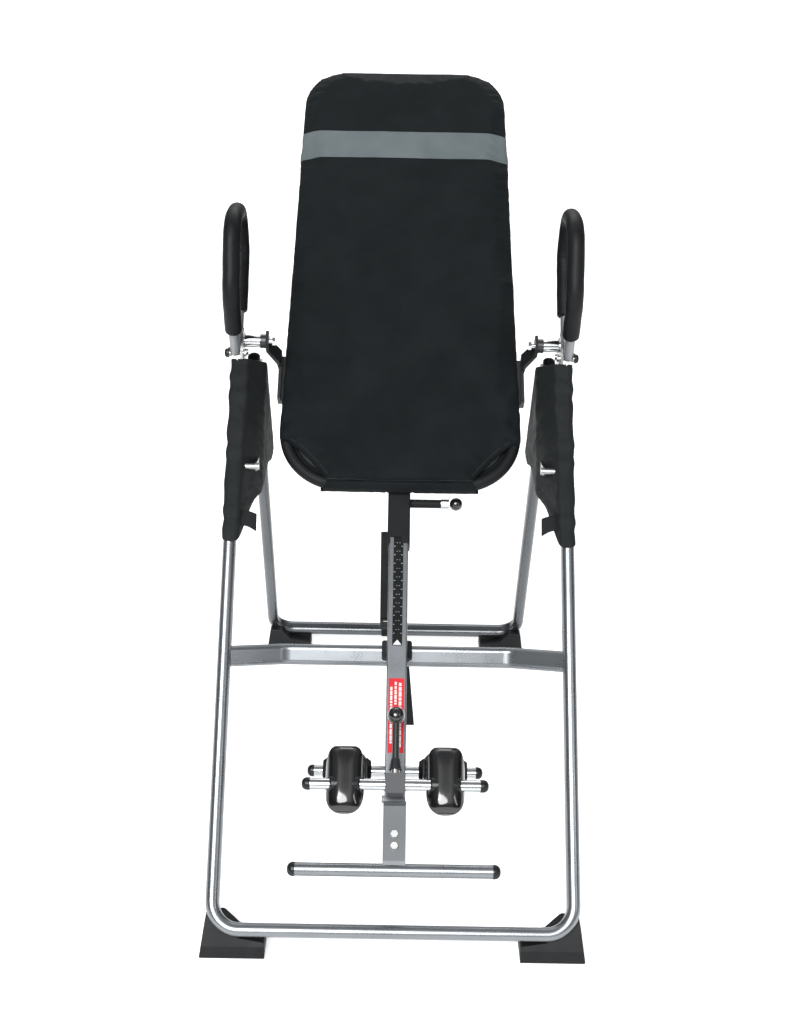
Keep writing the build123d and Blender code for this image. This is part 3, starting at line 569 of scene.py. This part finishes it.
def inflated(piece, pressure, frames, slack, caps):
    """Swell a closed piece with Cloth. caps gives how far each point may move, and 0 pins it."""
    rest = [v.co.copy() for v in piece.data.vertices]
    pinned = [i for i, cap in enumerate(caps) if cap == 0]
    group = piece.vertex_groups.new(name="pinned")
    group.add(pinned, 1.0, "REPLACE")
    cloth = piece.modifiers.new("cloth", "CLOTH")
    cloth.settings.quality = 5
    cloth.settings.mass = 0.3
    cloth.settings.tension_stiffness = 25
    cloth.settings.compression_stiffness = 25
    cloth.settings.bending_stiffness = 2.0
    cloth.settings.shrink_min = -slack
    cloth.settings.use_pressure = True
    cloth.settings.uniform_pressure_force = pressure
    cloth.settings.vertex_group_mass = "pinned"
    cloth.settings.effector_weights.gravity = 0
    cloth.point_cache.frame_start = 1
    cloth.point_cache.frame_end = frames
    for step in range(1, frames + 1):
        scene.frame_set(step)
    graph = bpy.context.evaluated_depsgraph_get()
    moved = bpy.data.meshes.new_from_object(piece.evaluated_get(graph))
    for vertex, start, cap in zip(moved.vertices, rest, caps):
        step = vertex.co - start
        if step.length > cap:
            vertex.co = start + step * (cap / step.length)
    piece.modifiers.clear()
    piece.vertex_groups.clear()
    piece.data = moved
    scene.frame_set(1)
    return piece


def bed_place(point):
    """x, s and h of a point on the bed."""
    arm = point - pivot
    return point.x, arm.dot(bed_dir), arm.dot(bed_front)


def ripple(value, seed):
    """Smooth noise from -1 to 1 along a line."""
    return noise.noise(Vector((value, seed, 0.37)))


def cover_details(piece):
    """Puckers along the edges, a sunk seam over the hem and soft waves in the cloth."""
    mesh = piece.data
    normals = [v.normal.copy() for v in mesh.vertices]
    for vertex, normal in zip(mesh.vertices, normals):
        x, s, h = bed_place(vertex.co)
        front = max(0.0, normal.dot(bed_front))
        edge = bed_half(s, cover_grow) - abs(x)
        close = math.exp(-((max(0.0, edge) / 0.028) ** 2))
        side_wave = ripple(s / 0.026, 3.1 + (x > 0)) * 0.6 + ripple(s / 0.011, 8.4 + (x > 0)) * 0.25
        lift = 0.0016 * close * side_wave
        lift += 0.0012 * front * noise.noise(Vector((x / 0.09, s / 0.14, 1.7)))
        lift += 0.0005 * front * noise.noise(Vector((x / 0.025, s / 0.03, 5.2)))
        from_seam = abs(s - (seam_s + 0.006))
        if abs(x) < hem_half + 0.01 and from_seam < 0.006:
            lift -= 0.0012 * front * (1 - from_seam / 0.006)
        for band_edge in (band_low, band_high):
            off = abs(s - band_edge)
            if off < 0.006:
                lift -= 0.0007 * front * (1 - off / 0.006)
        vertex.co += normal * lift


def swell_cap(h):
    """How far the cover may swell at h: the rim's back a little, the pad's flat back not at all."""
    if h < pad_back_h - 0.004:
        return rim_swell
    if h < pad_back_h + 0.003:
        return 0.0
    return front_swell


def make_cover():
    """The whole padded cover of the bed."""
    piece = remeshed(padded_body(), voxel)
    caps = [swell_cap(bed_place(vertex.co)[2]) for vertex in piece.data.vertices]
    inflated(piece, pressure=4.0, frames=20, slack=0.012, caps=caps)
    softened(piece)
    cover_details(piece)
    return piece


cover = make_cover()
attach(cover, "table")
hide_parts("pad")

cover_tree = BVHTree.FromPolygons(
    [v.co.copy() for v in cover.data.vertices], [tuple(p.vertices) for p in cover.data.polygons]
)


def on_cover(x, s):
    """The cover's front surface at x and s, and its normal."""
    hit, normal, _, _ = cover_tree.ray_cast(table_at(x, s, 0.02), -bed_front)
    return hit, normal


def make_band():
    """The grey band: the cover's own skin between two straight cuts, just proud of it."""
    work = bmesh.new()
    work.from_mesh(cover.data)
    for s, keep_side in ((band_low, -1), (band_high, 1)):
        everything = list(work.verts) + list(work.edges) + list(work.faces)
        bmesh.ops.bisect_plane(
            work,
            geom=everything,
            plane_co=table_at(0, s, 0),
            plane_no=bed_dir * keep_side,
            clear_outer=True,
        )
    hidden = []
    for face in work.faces:
        from_edge = bed_half(band_low) - abs(face.calc_center_median().x)
        if face.normal.dot(bed_front) < -0.3 and from_edge > 0.045:
            hidden.append(face)
    bmesh.ops.delete(work, geom=hidden, context="FACES")
    work.normal_update()
    for vertex in work.verts:
        vertex.co += vertex.normal * 0.0006
    mesh = bpy.data.meshes.new("bed_band")
    work.to_mesh(mesh)
    work.free()
    mesh.materials.clear()
    mesh.materials.append(finish["grey_band"])
    piece = bpy.data.objects.new("bed_band", mesh)
    scene.collection.objects.link(piece)
    solid = piece.modifiers.new("solid", "SOLIDIFY")
    solid.thickness = 0.0007
    solid.offset = -1.0
    return made_real(piece)


band = make_band()
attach(band, "table")
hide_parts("band")


def stitch_line(name, line, body):
    """Short raised stitches along a line of points and normals."""
    length = 0.0030
    pitch = 0.0046
    thick = 0.00045
    spots = [p for p, _ in line]
    ends = evenly(spots, pitch)
    along = directions(ends)
    vertices = []
    faces = []
    for centre, direction in zip(ends, along):
        near = min(line, key=lambda entry: (entry[0] - centre).length)
        normal = near[1]
        side = direction.cross(normal).normalized()
        base = len(vertices)
        for share, size in ((-0.5, 0.35), (-0.3, 1.0), (0.3, 1.0), (0.5, 0.35)):
            middle = centre + direction * (share * length) + normal * (thick * 0.4 * size)
            for turn in range(6):
                angle = turn * math.pi / 3
                arm = side * math.cos(angle) + normal * math.sin(angle)
                vertices.append(middle + arm * (thick * size))
        for ring in range(3):
            for turn in range(6):
                a = base + ring * 6 + turn
                b = base + ring * 6 + (turn + 1) % 6
                faces.append((a, b, b + 6, a + 6))
        faces.append(tuple(base + k for k in range(5, -1, -1)))
        faces.append(tuple(base + 18 + k for k in range(6)))
    piece = new_piece(name, vertices, faces, "thread")
    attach(piece, body)


def cover_line(points):
    """Points and normals on the cover under a line of x and s."""
    line = []
    for x, s in points:
        hit, normal = on_cover(x, s)
        if hit is not None:
            line.append((hit, normal))
    return line


def across_line(s, half):
    """x and s of a straight row across the bed."""
    return [(-half + 2 * half * k / 60, s) for k in range(61)]


stitch_rows = {
    "stitches_band_low": across_line(band_low + 0.004, bed_half(band_low) - 0.004),
    "stitches_band_high": across_line(band_high - 0.004, bed_half(band_high) - 0.004),
    "stitches_hem": across_line(seam_s + 0.008, hem_half),
    "stitches_cut_right": [(p.x - 0.006, p.y + 0.007) for p in cut_outline()[1:-1]],
    "stitches_cut_left": [(-p.x + 0.006, p.y + 0.007) for p in cut_outline()[1:-1]],
}
for name, row in stitch_rows.items():
    stitch_line(name, cover_line(row), "table")


def make_hem():
    """The sleeve round the bottom tube: snug, its ends cut slanting and its back notched for the boom."""
    roll_r = tube_r + 0.0024
    front_extra = 0.0065
    start_angle = math.radians(84)
    rows = []
    steps = 34
    for i in range(101):
        share = i / 100
        notch = abs(share - 0.5) < 0.088
        row = []
        for k in range(steps + 1):
            t = k / steps
            half = hem_half + 0.002 + 0.012 * min(1.0, t * 2.5)
            x = -half + 2 * half * share
            pucker = 0.0007 * ripple(x / 0.016, 2.2 + 3 * t) + 0.0006 * ripple(x / 0.06, 7.7)
            angle = start_angle - math.radians(200 if notch else 320) * t
            front = min(1.0, max(0.0, angle / start_angle))
            radius = roll_r + pucker + front_extra * front * front * (3 - 2 * front)
            s = bed_bottom - radius * math.cos(angle)
            h = tube_h + radius * math.sin(angle)
            row.append(table_at(x, s, h))
        rows.append(row)
    piece = lofted("bed_hem", rows, "nylon_cover", around=False)
    return softened(thickened(piece, 0.0013))


def make_lining(name, side):
    """Dark cloth behind a lower corner's cut, out to the tube."""
    centre_s = bed_bottom + bed_corner_bottom
    centre_x = bed_half(centre_s) - bed_corner_bottom
    rows = []
    for h in (tube_h + 0.0035, tube_h + 0.0022):
        row = []
        for k in range(25):
            angle = math.radians(-8 - 84 * k / 24)
            wave = 0.0012 * ripple(k / 3.2, 6.0 + side)
            x = centre_x + (bed_corner_bottom + wave * 0.3) * math.cos(angle)
            row.append(table_at(side * x, centre_s + bed_corner_bottom * math.sin(angle), h + wave))
        inner = Vector((hem_half - 0.035, seam_s + 0.060))
        outer = Vector((bed_half(cut_side_s) - 0.055, cut_side_s + 0.012))
        for k in range(13):
            spot = inner.lerp(outer, k / 12)
            row.append(table_at(side * spot.x, spot.y, h - 0.002))
        rows.append(row)
    piece = lofted(name, rows, "nylon_cover", caps=True, smooth=False)
    outward(piece)
    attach(piece, "table")


for word, side in (("left", -1), ("right", 1)):
    make_lining(f"bed_lining_{word}", side)
hem = make_hem()
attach(hem, "table")


# ---- leg covers --------------------------------------------------------------------------------------
cover_inner_x = 0.2733
cover_outer_x = 0.3392
cover_leg_x = 0.3095
cover_top_up = 1.085
cover_low_up = 0.712
cover_nose = 0.0190
rear_edge_shift = Vector((0, 0.0262, -0.0120))
rear_drop = 0.020
cover_cut_rise = 0.045  # of the inner face's lower edge


def smooth_step(value):
    """0 below 0, 1 above 1 and smooth between."""
    t = min(1.0, max(0.0, value))
    return t * t * (3 - 2 * t)


def cover_section(depth, t):
    """The sleeve's outline at one level, as depth behind the nose and x. t goes from 0 low to 1 high."""
    taper = 0.055 + 0.065 * (1 - t)
    outline = rounded_corners(
        [
            (0.0, cover_outer_x),
            (depth, cover_outer_x),
            (depth, cover_inner_x),
            (min(taper, depth * 0.6), cover_inner_x),
            (0.0, cover_leg_x - 0.006 * t),
        ],
        [0.011, 0.010, 0.010, 0.030, 0.009],
        8,
    )
    return evenly(outline, (2 * depth + 0.10) / 160, closed=True)


def leg_cover(name, side):
    """A wrinkled nylon sleeve from the front leg back to the rear leg, over the brace."""
    front_low = leg_at(0, cover_low_up, cover_nose)
    front_high = leg_at(0, cover_top_up, cover_nose)
    rear_low = rear_brace_spot + rear_edge_shift - rear_dir * rear_drop
    rear_high = hinge + rear_edge_shift
    rows = []
    levels = 110
    for level in range(levels + 1):
        t = level / levels
        nose = front_low.lerp(front_high, t)
        tail = rear_low.lerp(rear_high, t)
        depth = (tail - nose).length
        back = (tail - nose).normalized()
        row = []
        for d, x in cover_section(depth, t):
            height = (nose + back * d).dot(leg_dir)
            on_nose = math.exp(-((d / 0.035) ** 2))
            on_tail = math.exp(-(((depth - d) / 0.03) ** 2))
            inner = 1 - smooth_step((x - 0.300) / 0.030)
            outer = 1 - 2 * inner
            folds = noise.noise(Vector((d / 0.10 + 3 * outer, height / 0.024 + d / 0.05, 4.0 + side)))
            slow = noise.noise(Vector((d / 0.15, height / 0.065, 9.0 + 2 * outer + side)))
            fine = noise.noise(Vector((d / 0.03, height / 0.012, 1.0 + outer)))
            edge_wave = math.sin(height / 0.0088 + 1.3 * math.sin(height / 0.021) + side)
            free = 1 - 0.8 * max(on_nose, on_tail)
            gather = math.exp(-((t / 0.03) ** 2)) + math.exp(-(((1 - t) / 0.03) ** 2))
            swell = (0.0055 * abs(folds) + 0.0045 * max(-0.1, slow) + 0.0010 * fine) * free
            swell += 0.0013 * on_nose * (edge_wave + 0.6 * slow)
            swell *= 1 - 0.6 * min(1.0, gather)
            forward = 0.0015 * on_nose * (edge_wave + fine)
            middle = smooth_step(d / 0.085) * smooth_step((depth * 0.9 - d) / 0.16)
            lift = cover_cut_rise * inner * (1 - t) ** 2 * middle
            point = nose + back * (d - forward) + leg_dir * lift
            row.append(Vector((side * (x + outer * swell), point.y, point.z)))
        rows.append(row)
    piece = lofted(name, rows, "leg_nylon")
    thickened(piece, 0.0012)
    softened(piece)
    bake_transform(piece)
    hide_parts(f"leg_{name}")
    height = ((front_high - front_low).length + (rear_high - rear_low).length) / 2


def cover_tab(name, side):
    """The cover's loose hook-and-loop tab, which hangs off the inner side of the front leg."""
    rows = []
    for i in range(13):
        t = i / 12
        row = []
        for k in range(9):
            u = k / 8
            up = cover_low_up + 0.034 + 0.036 * (1 - t) - 0.012 * u + 0.004 * math.sin(3 * u) * t
            forward = 0.004 + 0.006 * math.sin(2.4 * u + 0.5 * t)
            point = leg_at(0, up, forward)
            row.append(Vector((side * (cover_leg_x + 0.001 - 0.036 * u), point.y, point.z)))
        rows.append(row)
    piece = lofted(name, rows, "webbing", around=False)
    thickened(piece, 0.0018, 0.0)
    softened(piece)
    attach(piece, "front_frame")


for word, side in (("left", -1), ("right", 1)):
    leg_cover(f"cover_{word}", side)
    cover_tab(f"cover_tab_{word}", side)

# ---- foam grips --------------------------------------------------------------------------------------
grip_r = 0.0170
grip_step = 0.0035  # between the foam's rings
handle_r = 0.0100
handle_x = 0.331


def handle_line():
    """The middle line of a handle's tube, from its front end to its rear end."""
    corners = [
        leg_at(handle_x, pivot_up_leg - 0.030, 0.010),
        pivot + Vector((handle_x, -0.074, 0.118)),
        pivot + Vector((handle_x, -0.022, 0.246)),
        pivot + Vector((handle_x, 0.102, 0.246)),
        pivot + Vector((handle_x, 0.138, 0.150)),
        leg_at(handle_x, pivot_up_leg - 0.012, -0.028),
    ]
    return rounded_corners(corners, [0, 0.060, 0.070, 0.058, 0.060, 0], 16, closed=False)


def foam_grip(name, side):
    """A foam sleeve pulled over the handle's loop, gathered a little on the inside of its bends."""
    line = evenly(handle_line(), grip_step)
    front_trim = 14  # rings of bare tube at the front end
    rear_trim = 24
    line = line[front_trim:len(line) - rear_trim]
    along = directions(line)
    around = 40
    rows = []
    last = len(line) - 1
    for i, (centre, direction) in enumerate(zip(line, along)):
        across = x_axis
        outer = direction.cross(across).normalized()
        from_end = min(i, last - i) * grip_step
        rounding = math.sqrt(max(0.0, 1 - max(0.0, 1 - from_end / 0.007) ** 2))
        radius = handle_r + 0.0016 + (grip_r - handle_r - 0.0016) * rounding
        a = along[max(0, i - 6)]
        b = along[min(last, i + 6)]
        bend = a.angle(b)
        inward = (b - a).normalized() if bend > 0.02 else outer
        row = []
        for k in range(around):
            angle = 2 * math.pi * k / around
            arm = across * math.cos(angle) + outer * math.sin(angle)
            inside = max(0.0, arm.dot(inward))
            wrinkle = 0.0006 * inside * bend * math.sin(i * 1.25)
            soft = 0.0005 * noise.noise(centre * 45 + arm * 0.6)
            spot = centre + arm * (radius + wrinkle + soft * rounding)
            row.append(Vector((side * spot.x, spot.y, spot.z)))
        rows.append(row)
    piece = lofted(name, rows, "foam", caps=True)
    outward(piece)
    softened(piece)
    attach(piece, "front_frame")
    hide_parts(f"handle_{name}")


for word, side in (("left", -1), ("right", 1)):
    foam_grip(f"grip_{word}", side)


# ---- ankle cups --------------------------------------------------------------------------------------
def shell_rows(half_wide, half_tall, deep, square):
    """Rows of (x, s, h) over a half shell whose open side is at h 0. square sharpens its corners."""
    rows = []
    rings = 20
    around = 72
    for i in range(rings + 1):
        reach = math.sin(i / rings * math.pi / 2)
        row = []
        for k in range(around):
            angle = 2 * math.pi * k / around
            c = math.cos(angle)
            d = math.sin(angle)
            size = (abs(c) ** square + abs(d) ** square) ** (-1 / square)
            x = half_wide * c * size * reach
            s = half_tall * d * size * reach
            dome = max(0.0, 1 - abs(x / half_wide) ** 2.4) ** 0.52
            ends = max(0.0, 1 - abs(s / half_tall) ** 5.0) ** 0.40
            row.append((x, s, deep * dome * ends))
        rows.append(row)
    return rows


def ankle_cup(name, body, x, rod_s, rod_h, half_wide, above, below, face):
    """A glossy moulded shell with a thick lip."""
    half_tall = (above + below) / 2
    middle_s = rod_s + (above - below) / 2
    back_h = rod_h - face * 0.013
    deep = 0.030
    shell = shell_rows(half_wide, half_tall, deep, 3.4)
    inner = shell_rows(half_wide - 0.007, half_tall - 0.006, deep - 0.0075, 3.2)

    def placed(rows):
        """Rows of the shell as points in the scene."""
        return [
            [table_at(x + px, middle_s + ps, back_h + face * ph) for px, ps, ph in row] for row in rows
        ]

    outer_rows = placed(shell)
    inner_rows = placed(inner)
    lip = [a.lerp(b, 0.5) - bed_front * (face * 0.0022) for a, b in zip(outer_rows[-1], inner_rows[-1])]
    skin = outer_rows[1:] + [lip] + list(reversed(inner_rows))[:-1]
    piece = lofted(name, skin, "gloss_black", caps=True)
    outward(piece)
    softened(piece)
    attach(piece, body)
    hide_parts(name.replace("shell", "cup"))


def hub(name, body, middle_x, s, h):
    """A turned ring round a rod."""
    rows = []
    for share, wall in hub_profile:
        x = middle_x + hub_half * (2 * share - 1)
        radius = rod_r + wall
        row = []
        for k in range(48):
            angle = 2 * math.pi * k / 48
            row.append(table_at(x, s + math.cos(angle) * radius, h + math.sin(angle) * radius))
        rows.append(row)
    piece = lofted(name, rows, "black_plastic", along=True)
    outward(piece)
    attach(piece, body)


def wing(name, body, x, side, s, h):
    """A stepped, rounded ear on the side of a rear cup."""
    wide, tall, deep = wing_size
    corners = rounded_corners(
        [(-deep / 2, -tall / 2), (deep / 2, -tall / 2), (deep / 2, tall / 2), (-deep / 2, tall / 2)],
        [0.005] * 4,
        4,
    )
    rows = []
    for share, shrink in ((0.0, 1.0), (0.55, 1.0), (0.62, 0.86), (0.93, 0.80), (1.0, 0.66)):
        out = x + side * wide * share
        rows.append([table_at(out, s + q * shrink, h + p * shrink) for p, q in corners])
    piece = lofted(name, rows, "gloss_black", caps=True)
    outward(piece)
    softened(piece)
    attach(piece, body)


cup_x = 0.090
front_rod = (-0.878, -0.063)  # s and h of the rod's middle line
rear_rod = (-0.821, -0.193)
hub_half = 0.027
hub_profile = ((0.0, 0.0004), (0.0, 0.0040), (0.06, 0.0052), (0.94, 0.0052), (1.0, 0.0040), (1.0, 0.0004))
wing_x = 0.030  # from the cup's middle
wing_size = (0.016, 0.046, 0.030)
for word, side in (("left", -1), ("right", 1)):
    middle = side * cup_x
    ankle_cup(f"front_shell_{word}", f"front_cup_{word}", middle, *front_rod, 0.035, 0.072, 0.052, 1)
    ankle_cup(f"rear_shell_{word}", f"rear_cup_{word}", middle, *rear_rod, 0.038, 0.040, 0.040, -1)
    hub(f"front_hub_{word}", f"front_cup_{word}", middle, *front_rod)
    hub(f"rear_hub_{word}", f"rear_cup_{word}", middle, *rear_rod)
    for ear in (-1, 1):
        ear_word = "inner" if ear * side < 0 else "outer"
        wing(
            f"rear_wing_{word}_{ear_word}",
            f"rear_cup_{word}",
            middle + ear * wing_x,
            ear,
            rear_rod[0],
            rear_rod[1] + 0.004,
        )


# ---- scale and sticker -------------------------------------------------------------------------------
def printed(name, outlines, look):
    """Flat printed marks on the boom, each an outline of x and s."""
    vertices = []
    faces = []
    low_h = boom_top_h + 0.00008
    high_h = low_h + 0.00012
    for outline in outlines:
        points, sides = prism(outline, low_h, high_h)
        shift = len(vertices)
        vertices += points
        faces += [tuple(i + shift for i in face) for face in sides]
    piece = new_piece(name, vertices, faces, look, smooth=False)
    outward(piece)
    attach(piece, "boom")
    return piece


def bar_outline(x_low, x_high, s_low, s_high):
    """Corners of an upright bar."""
    return [(x_low, s_low), (x_high, s_low), (x_high, s_high), (x_low, s_high)]


tick_pitch = 0.018
first_tick = -0.3955
tick_out = 0.0085
tick_in = 0.0085 - 0.0030
tick_half = 0.0006
dash_x = 0.0026
dash_half = 0.0011
ticks = []
for n in range(11):
    s = first_tick - n * tick_pitch
    for side in (-1, 1):
        x_ends = sorted((side * tick_out, side * tick_in))
        ticks.append(bar_outline(*x_ends, s - tick_half, s + tick_half))
        dash = side * dash_x
        ticks.append(bar_outline(dash - dash_half, dash + dash_half, s + 0.0070, s + 0.0078))
marks = printed("scale_marks", ticks, "faint_marks")
arrow = printed("scale_arrow", [[(-0.0080, -0.5985), (0.0080, -0.5985), (0.0, -0.5885)]], "marks")

sticker_columns = (  # x from and to, s from and to
    (-0.0115, -0.0075, -0.790, -0.682),
    (-0.0035, 0.0005, -0.716, -0.672),
    (0.0045, 0.0095, -0.798, -0.674),
)
bars = []
random.seed(7)
for x_low, x_high, s_low, s_high in sticker_columns:
    s = s_high
    while s > s_low:
        length = random.uniform(0.004, 0.011)
        bars.append(bar_outline(x_low, x_high, max(s_low, s - length), s))
        s -= length + random.uniform(0.0012, 0.0024)
sticker_bars = printed("sticker_bars", bars, "marks")

# ---- tether strap ------------------------------------------------------------------------------------
strap_x = -0.016
lower_strap_x = 0.002
strap_width = 0.038
strap_thick = 0.0022
buckle_y = front_bar.y + 0.592
buckle_z = 0.360
floor_lift = strap_thick / 2 + 0.0003


def strap_line(name, route, x, lean=0.0):
    """Points along the smooth NURBS line of a route of world Y and Z, moved to +X by lean as it falls."""
    curve = bpy.data.curves.new(name, "CURVE")
    curve.dimensions = "3D"
    spline = curve.splines.new("NURBS")
    spline.points.add(len(route) - 1)
    for point, (y, z) in zip(spline.points, route):
        point.co = (x + lean * (route[0][1] - z), y, z, 1)
    spline.order_u = 3
    spline.use_endpoint_u = True
    spline.resolution_u = 16
    line = bpy.data.objects.new(name, curve)
    scene.collection.objects.link(line)
    bpy.context.view_layer.update()
    mesh = bpy.data.meshes.new_from_object(line)
    points = [v.co.copy() for v in mesh.vertices]
    bpy.data.objects.remove(line)
    return points


def strap_piece(name, points, width, thick):
    """Flat webbing along a line, flat across X, with rolled edges and ribs across it."""
    points = evenly(points, 0.004)
    along = directions(points)
    profile = []
    for k in range(9):
        u = -1 + 2 * k / 8
        profile.append((u * width / 2, thick / 2 * (1 - 0.25 * abs(u) ** 6)))
    rows = []
    for i, (centre, direction) in enumerate(zip(points, along)):
        normal = direction.cross(x_axis).normalized()
        cup = 0.0008 * noise.noise(centre * 12)
        upper = [centre + x_axis * x + normal * (h + cup * (x / width) ** 2 * 4) for x, h in profile]
        lower = [centre + x_axis * x + normal * (-h + cup * (x / width) ** 2 * 4) for x, h in profile]
        rows.append(upper + list(reversed(lower)))
    piece = lofted(name, rows, "webbing", caps=True)
    outward(piece)
    return piece


upper_route = [
    (table_at(0, -0.345, -0.153).y, table_at(0, -0.345, -0.153).z),
    (front_bar.y + 0.568, 0.530),
    (front_bar.y + 0.584, 0.450),
    (buckle_y, buckle_z + 0.0126),
]
lower_route = [
    (buckle_y, buckle_z - 0.0126),
    (front_bar.y + 0.598, 0.240),
    (front_bar.y + 0.622, 0.130),
    (front_bar.y + 0.690, 0.045),
    (front_bar.y + 0.780, 0.009),
    (front_bar.y + 0.850, floor_lift),
    (front_bar.y + 0.962, floor_lift),
    (front_bar.y + 1.040, floor_lift + 0.0006),
    (front_bar.y + 1.085, 0.008),
    (front_bar.y + 1.121, 0.022),
]
tail_route = [
    (buckle_y - 0.008, buckle_z - 0.014),
    (buckle_y - 0.015, buckle_z - 0.120),
    (buckle_y - 0.006, buckle_z - 0.240),
]
tail_lean = 0.09

tail_points = strap_line("tether_tail_line", tail_route, lower_strap_x, tail_lean)
tail = strap_piece("tether_tail", tail_points, strap_width, strap_thick)
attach(tail, "front_frame")
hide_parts("strap_tail")

upper_line = strap_line("tether_upper_line", upper_route, strap_x)
upper = strap_piece("tether_upper", upper_line, strap_width, strap_thick)
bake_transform(upper)
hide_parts("strap_upper")

lower_line = strap_line("tether_lower_line", lower_route, lower_strap_x)
lower = strap_piece("tether_lower", lower_line, strap_width, strap_thick)
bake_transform(lower)
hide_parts("strap_lower", "strap_rear")


def bar_loop():
    """The strap's loop round the rear floor bar."""
    low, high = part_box("strap_loop")
    centre = Vector((0, (low.y + high.y) / 2, (low.z + high.z) / 2))
    long_side = 0.0181
    short_side = 0.0141
    lean = math.atan2(rear_dir.z, rear_dir.y)
    rows = []
    for i in range(17):
        x = low.x + (high.x - low.x) * i / 16
        row = []
        for k in range(56):
            angle = 2 * math.pi * k / 56
            straight = long_side - short_side
            p = short_side * math.cos(angle) + math.copysign(straight, math.cos(angle))
            q = short_side * math.sin(angle)
            turn = lean - math.pi / 2
            y = p * math.cos(turn) - q * math.sin(turn)
            z = p * math.sin(turn) + q * math.cos(turn)
            row.append(centre + Vector((x, y, z)))
        rows.append(row)
    piece = lofted("tether_loop", rows, "webbing")
    thickened(piece, 0.0020, 0.0)
    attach(piece, "rear_frame")
    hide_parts("strap_loop")


bar_loop()

# ---- floor, world and lights -------------------------------------------------------------------------
floor_half = 45.0
floor_glow = 0.42
floor_mesh = bpy.data.meshes.new("floor")
floor_mesh.from_pydata(
    [(x * floor_half, y * floor_half, 0) for x, y in ((-1, -1), (1, -1), (1, 1), (-1, 1))], [], [(0, 1, 2, 3)]
)
floor_look, _, floor_surface = new_material("floor_white", (0.93, 0.93, 0.93), 0.9)
floor_surface.inputs["Emission Color"].default_value = (1.0, 1.0, 1.0, 1)
floor_surface.inputs["Emission Strength"].default_value = floor_glow
floor_mesh.materials.append(floor_look)
floor = bpy.data.objects.new("floor", floor_mesh)
scene.collection.objects.link(floor)

sky_band = ((0.30, 0.18), (0.55, 0.85), (0.80, 1.0), (0.92, 0.30))  # height and level


def studio_world():
    """A studio sky: a bright band high up, dim at the horizon, overhead and to the sides."""
    sky = bpy.data.worlds.new("studio")
    sky.use_nodes = True
    tree = sky.node_tree
    where = tree.nodes.new("ShaderNodeTexCoord")
    split = tree.nodes.new("ShaderNodeSeparateXYZ")
    tree.links.new(where.outputs["Generated"], split.inputs["Vector"])
    height = tree.nodes.new("ShaderNodeValToRGB")
    height.color_ramp.elements[0].position = 0.0
    height.color_ramp.elements[0].color = (0.35, 0.35, 0.36, 1)
    height.color_ramp.elements[1].position = 1.0
    height.color_ramp.elements[1].color = (0.22, 0.22, 0.23, 1)
    for position, level in sky_band:
        element = height.color_ramp.elements.new(position)
        element.color = (level, level, level, 1)
    tree.links.new(split.outputs["Z"], height.inputs["Fac"])
    off_middle = math_of(tree, "ABSOLUTE", split.outputs["X"], 0.0)
    across = ramp_of(tree, off_middle, (1, 1, 1), (0.22, 0.22, 0.22), 0.30, 0.62)
    mix = tree.nodes.new("ShaderNodeMix")
    mix.data_type = "RGBA"
    mix.blend_type = "MULTIPLY"
    mix.inputs["Factor"].default_value = 1.0
    color_inputs = [socket for socket in mix.inputs if socket.type == "RGBA"]
    color_output = [socket for socket in mix.outputs if socket.type == "RGBA"][0]
    tree.links.new(height.outputs["Color"], color_inputs[0])
    tree.links.new(across, color_inputs[1])
    tree.links.new(color_output, tree.nodes["Background"].inputs["Color"])
    tree.nodes["Background"].inputs["Strength"].default_value = 1.5
    scene.world = sky


studio_world()

sun_data = bpy.data.lights.new("daylight", "SUN")
sun_data.energy = 3.2
sun_data.angle = math.radians(34)
sun_data.specular_factor = 0.25
sun = bpy.data.objects.new("daylight", sun_data)
sun.rotation_euler = (math.radians(53), 0, math.radians(-14))
scene.collection.objects.link(sun)


def softbox(name, place, aim, wide, tall, watts):
    """One rectangular studio light."""
    data = bpy.data.lights.new(name, "AREA")
    data.shape = "RECTANGLE"
    data.size = wide
    data.size_y = tall
    data.energy = watts
    light = bpy.data.objects.new(name, data)
    light.location = place
    light.rotation_euler = (Vector(aim) - Vector(place)).to_track_quat("-Z", "Y").to_euler()
    scene.collection.objects.link(light)


aim_point = (0.0, 0.0, 0.7)
softbox("key", (-1.3, -2.6, 2.7), aim_point, 0.7, 0.9, 34.0)
softbox("fill", (2.2, -2.0, 1.6), aim_point, 0.5, 1.4, 9.0)
softbox("back", (0.0, 2.2, 3.0), aim_point, 1.6, 0.8, 16.0)

scene.view_settings.view_transform = "Standard"
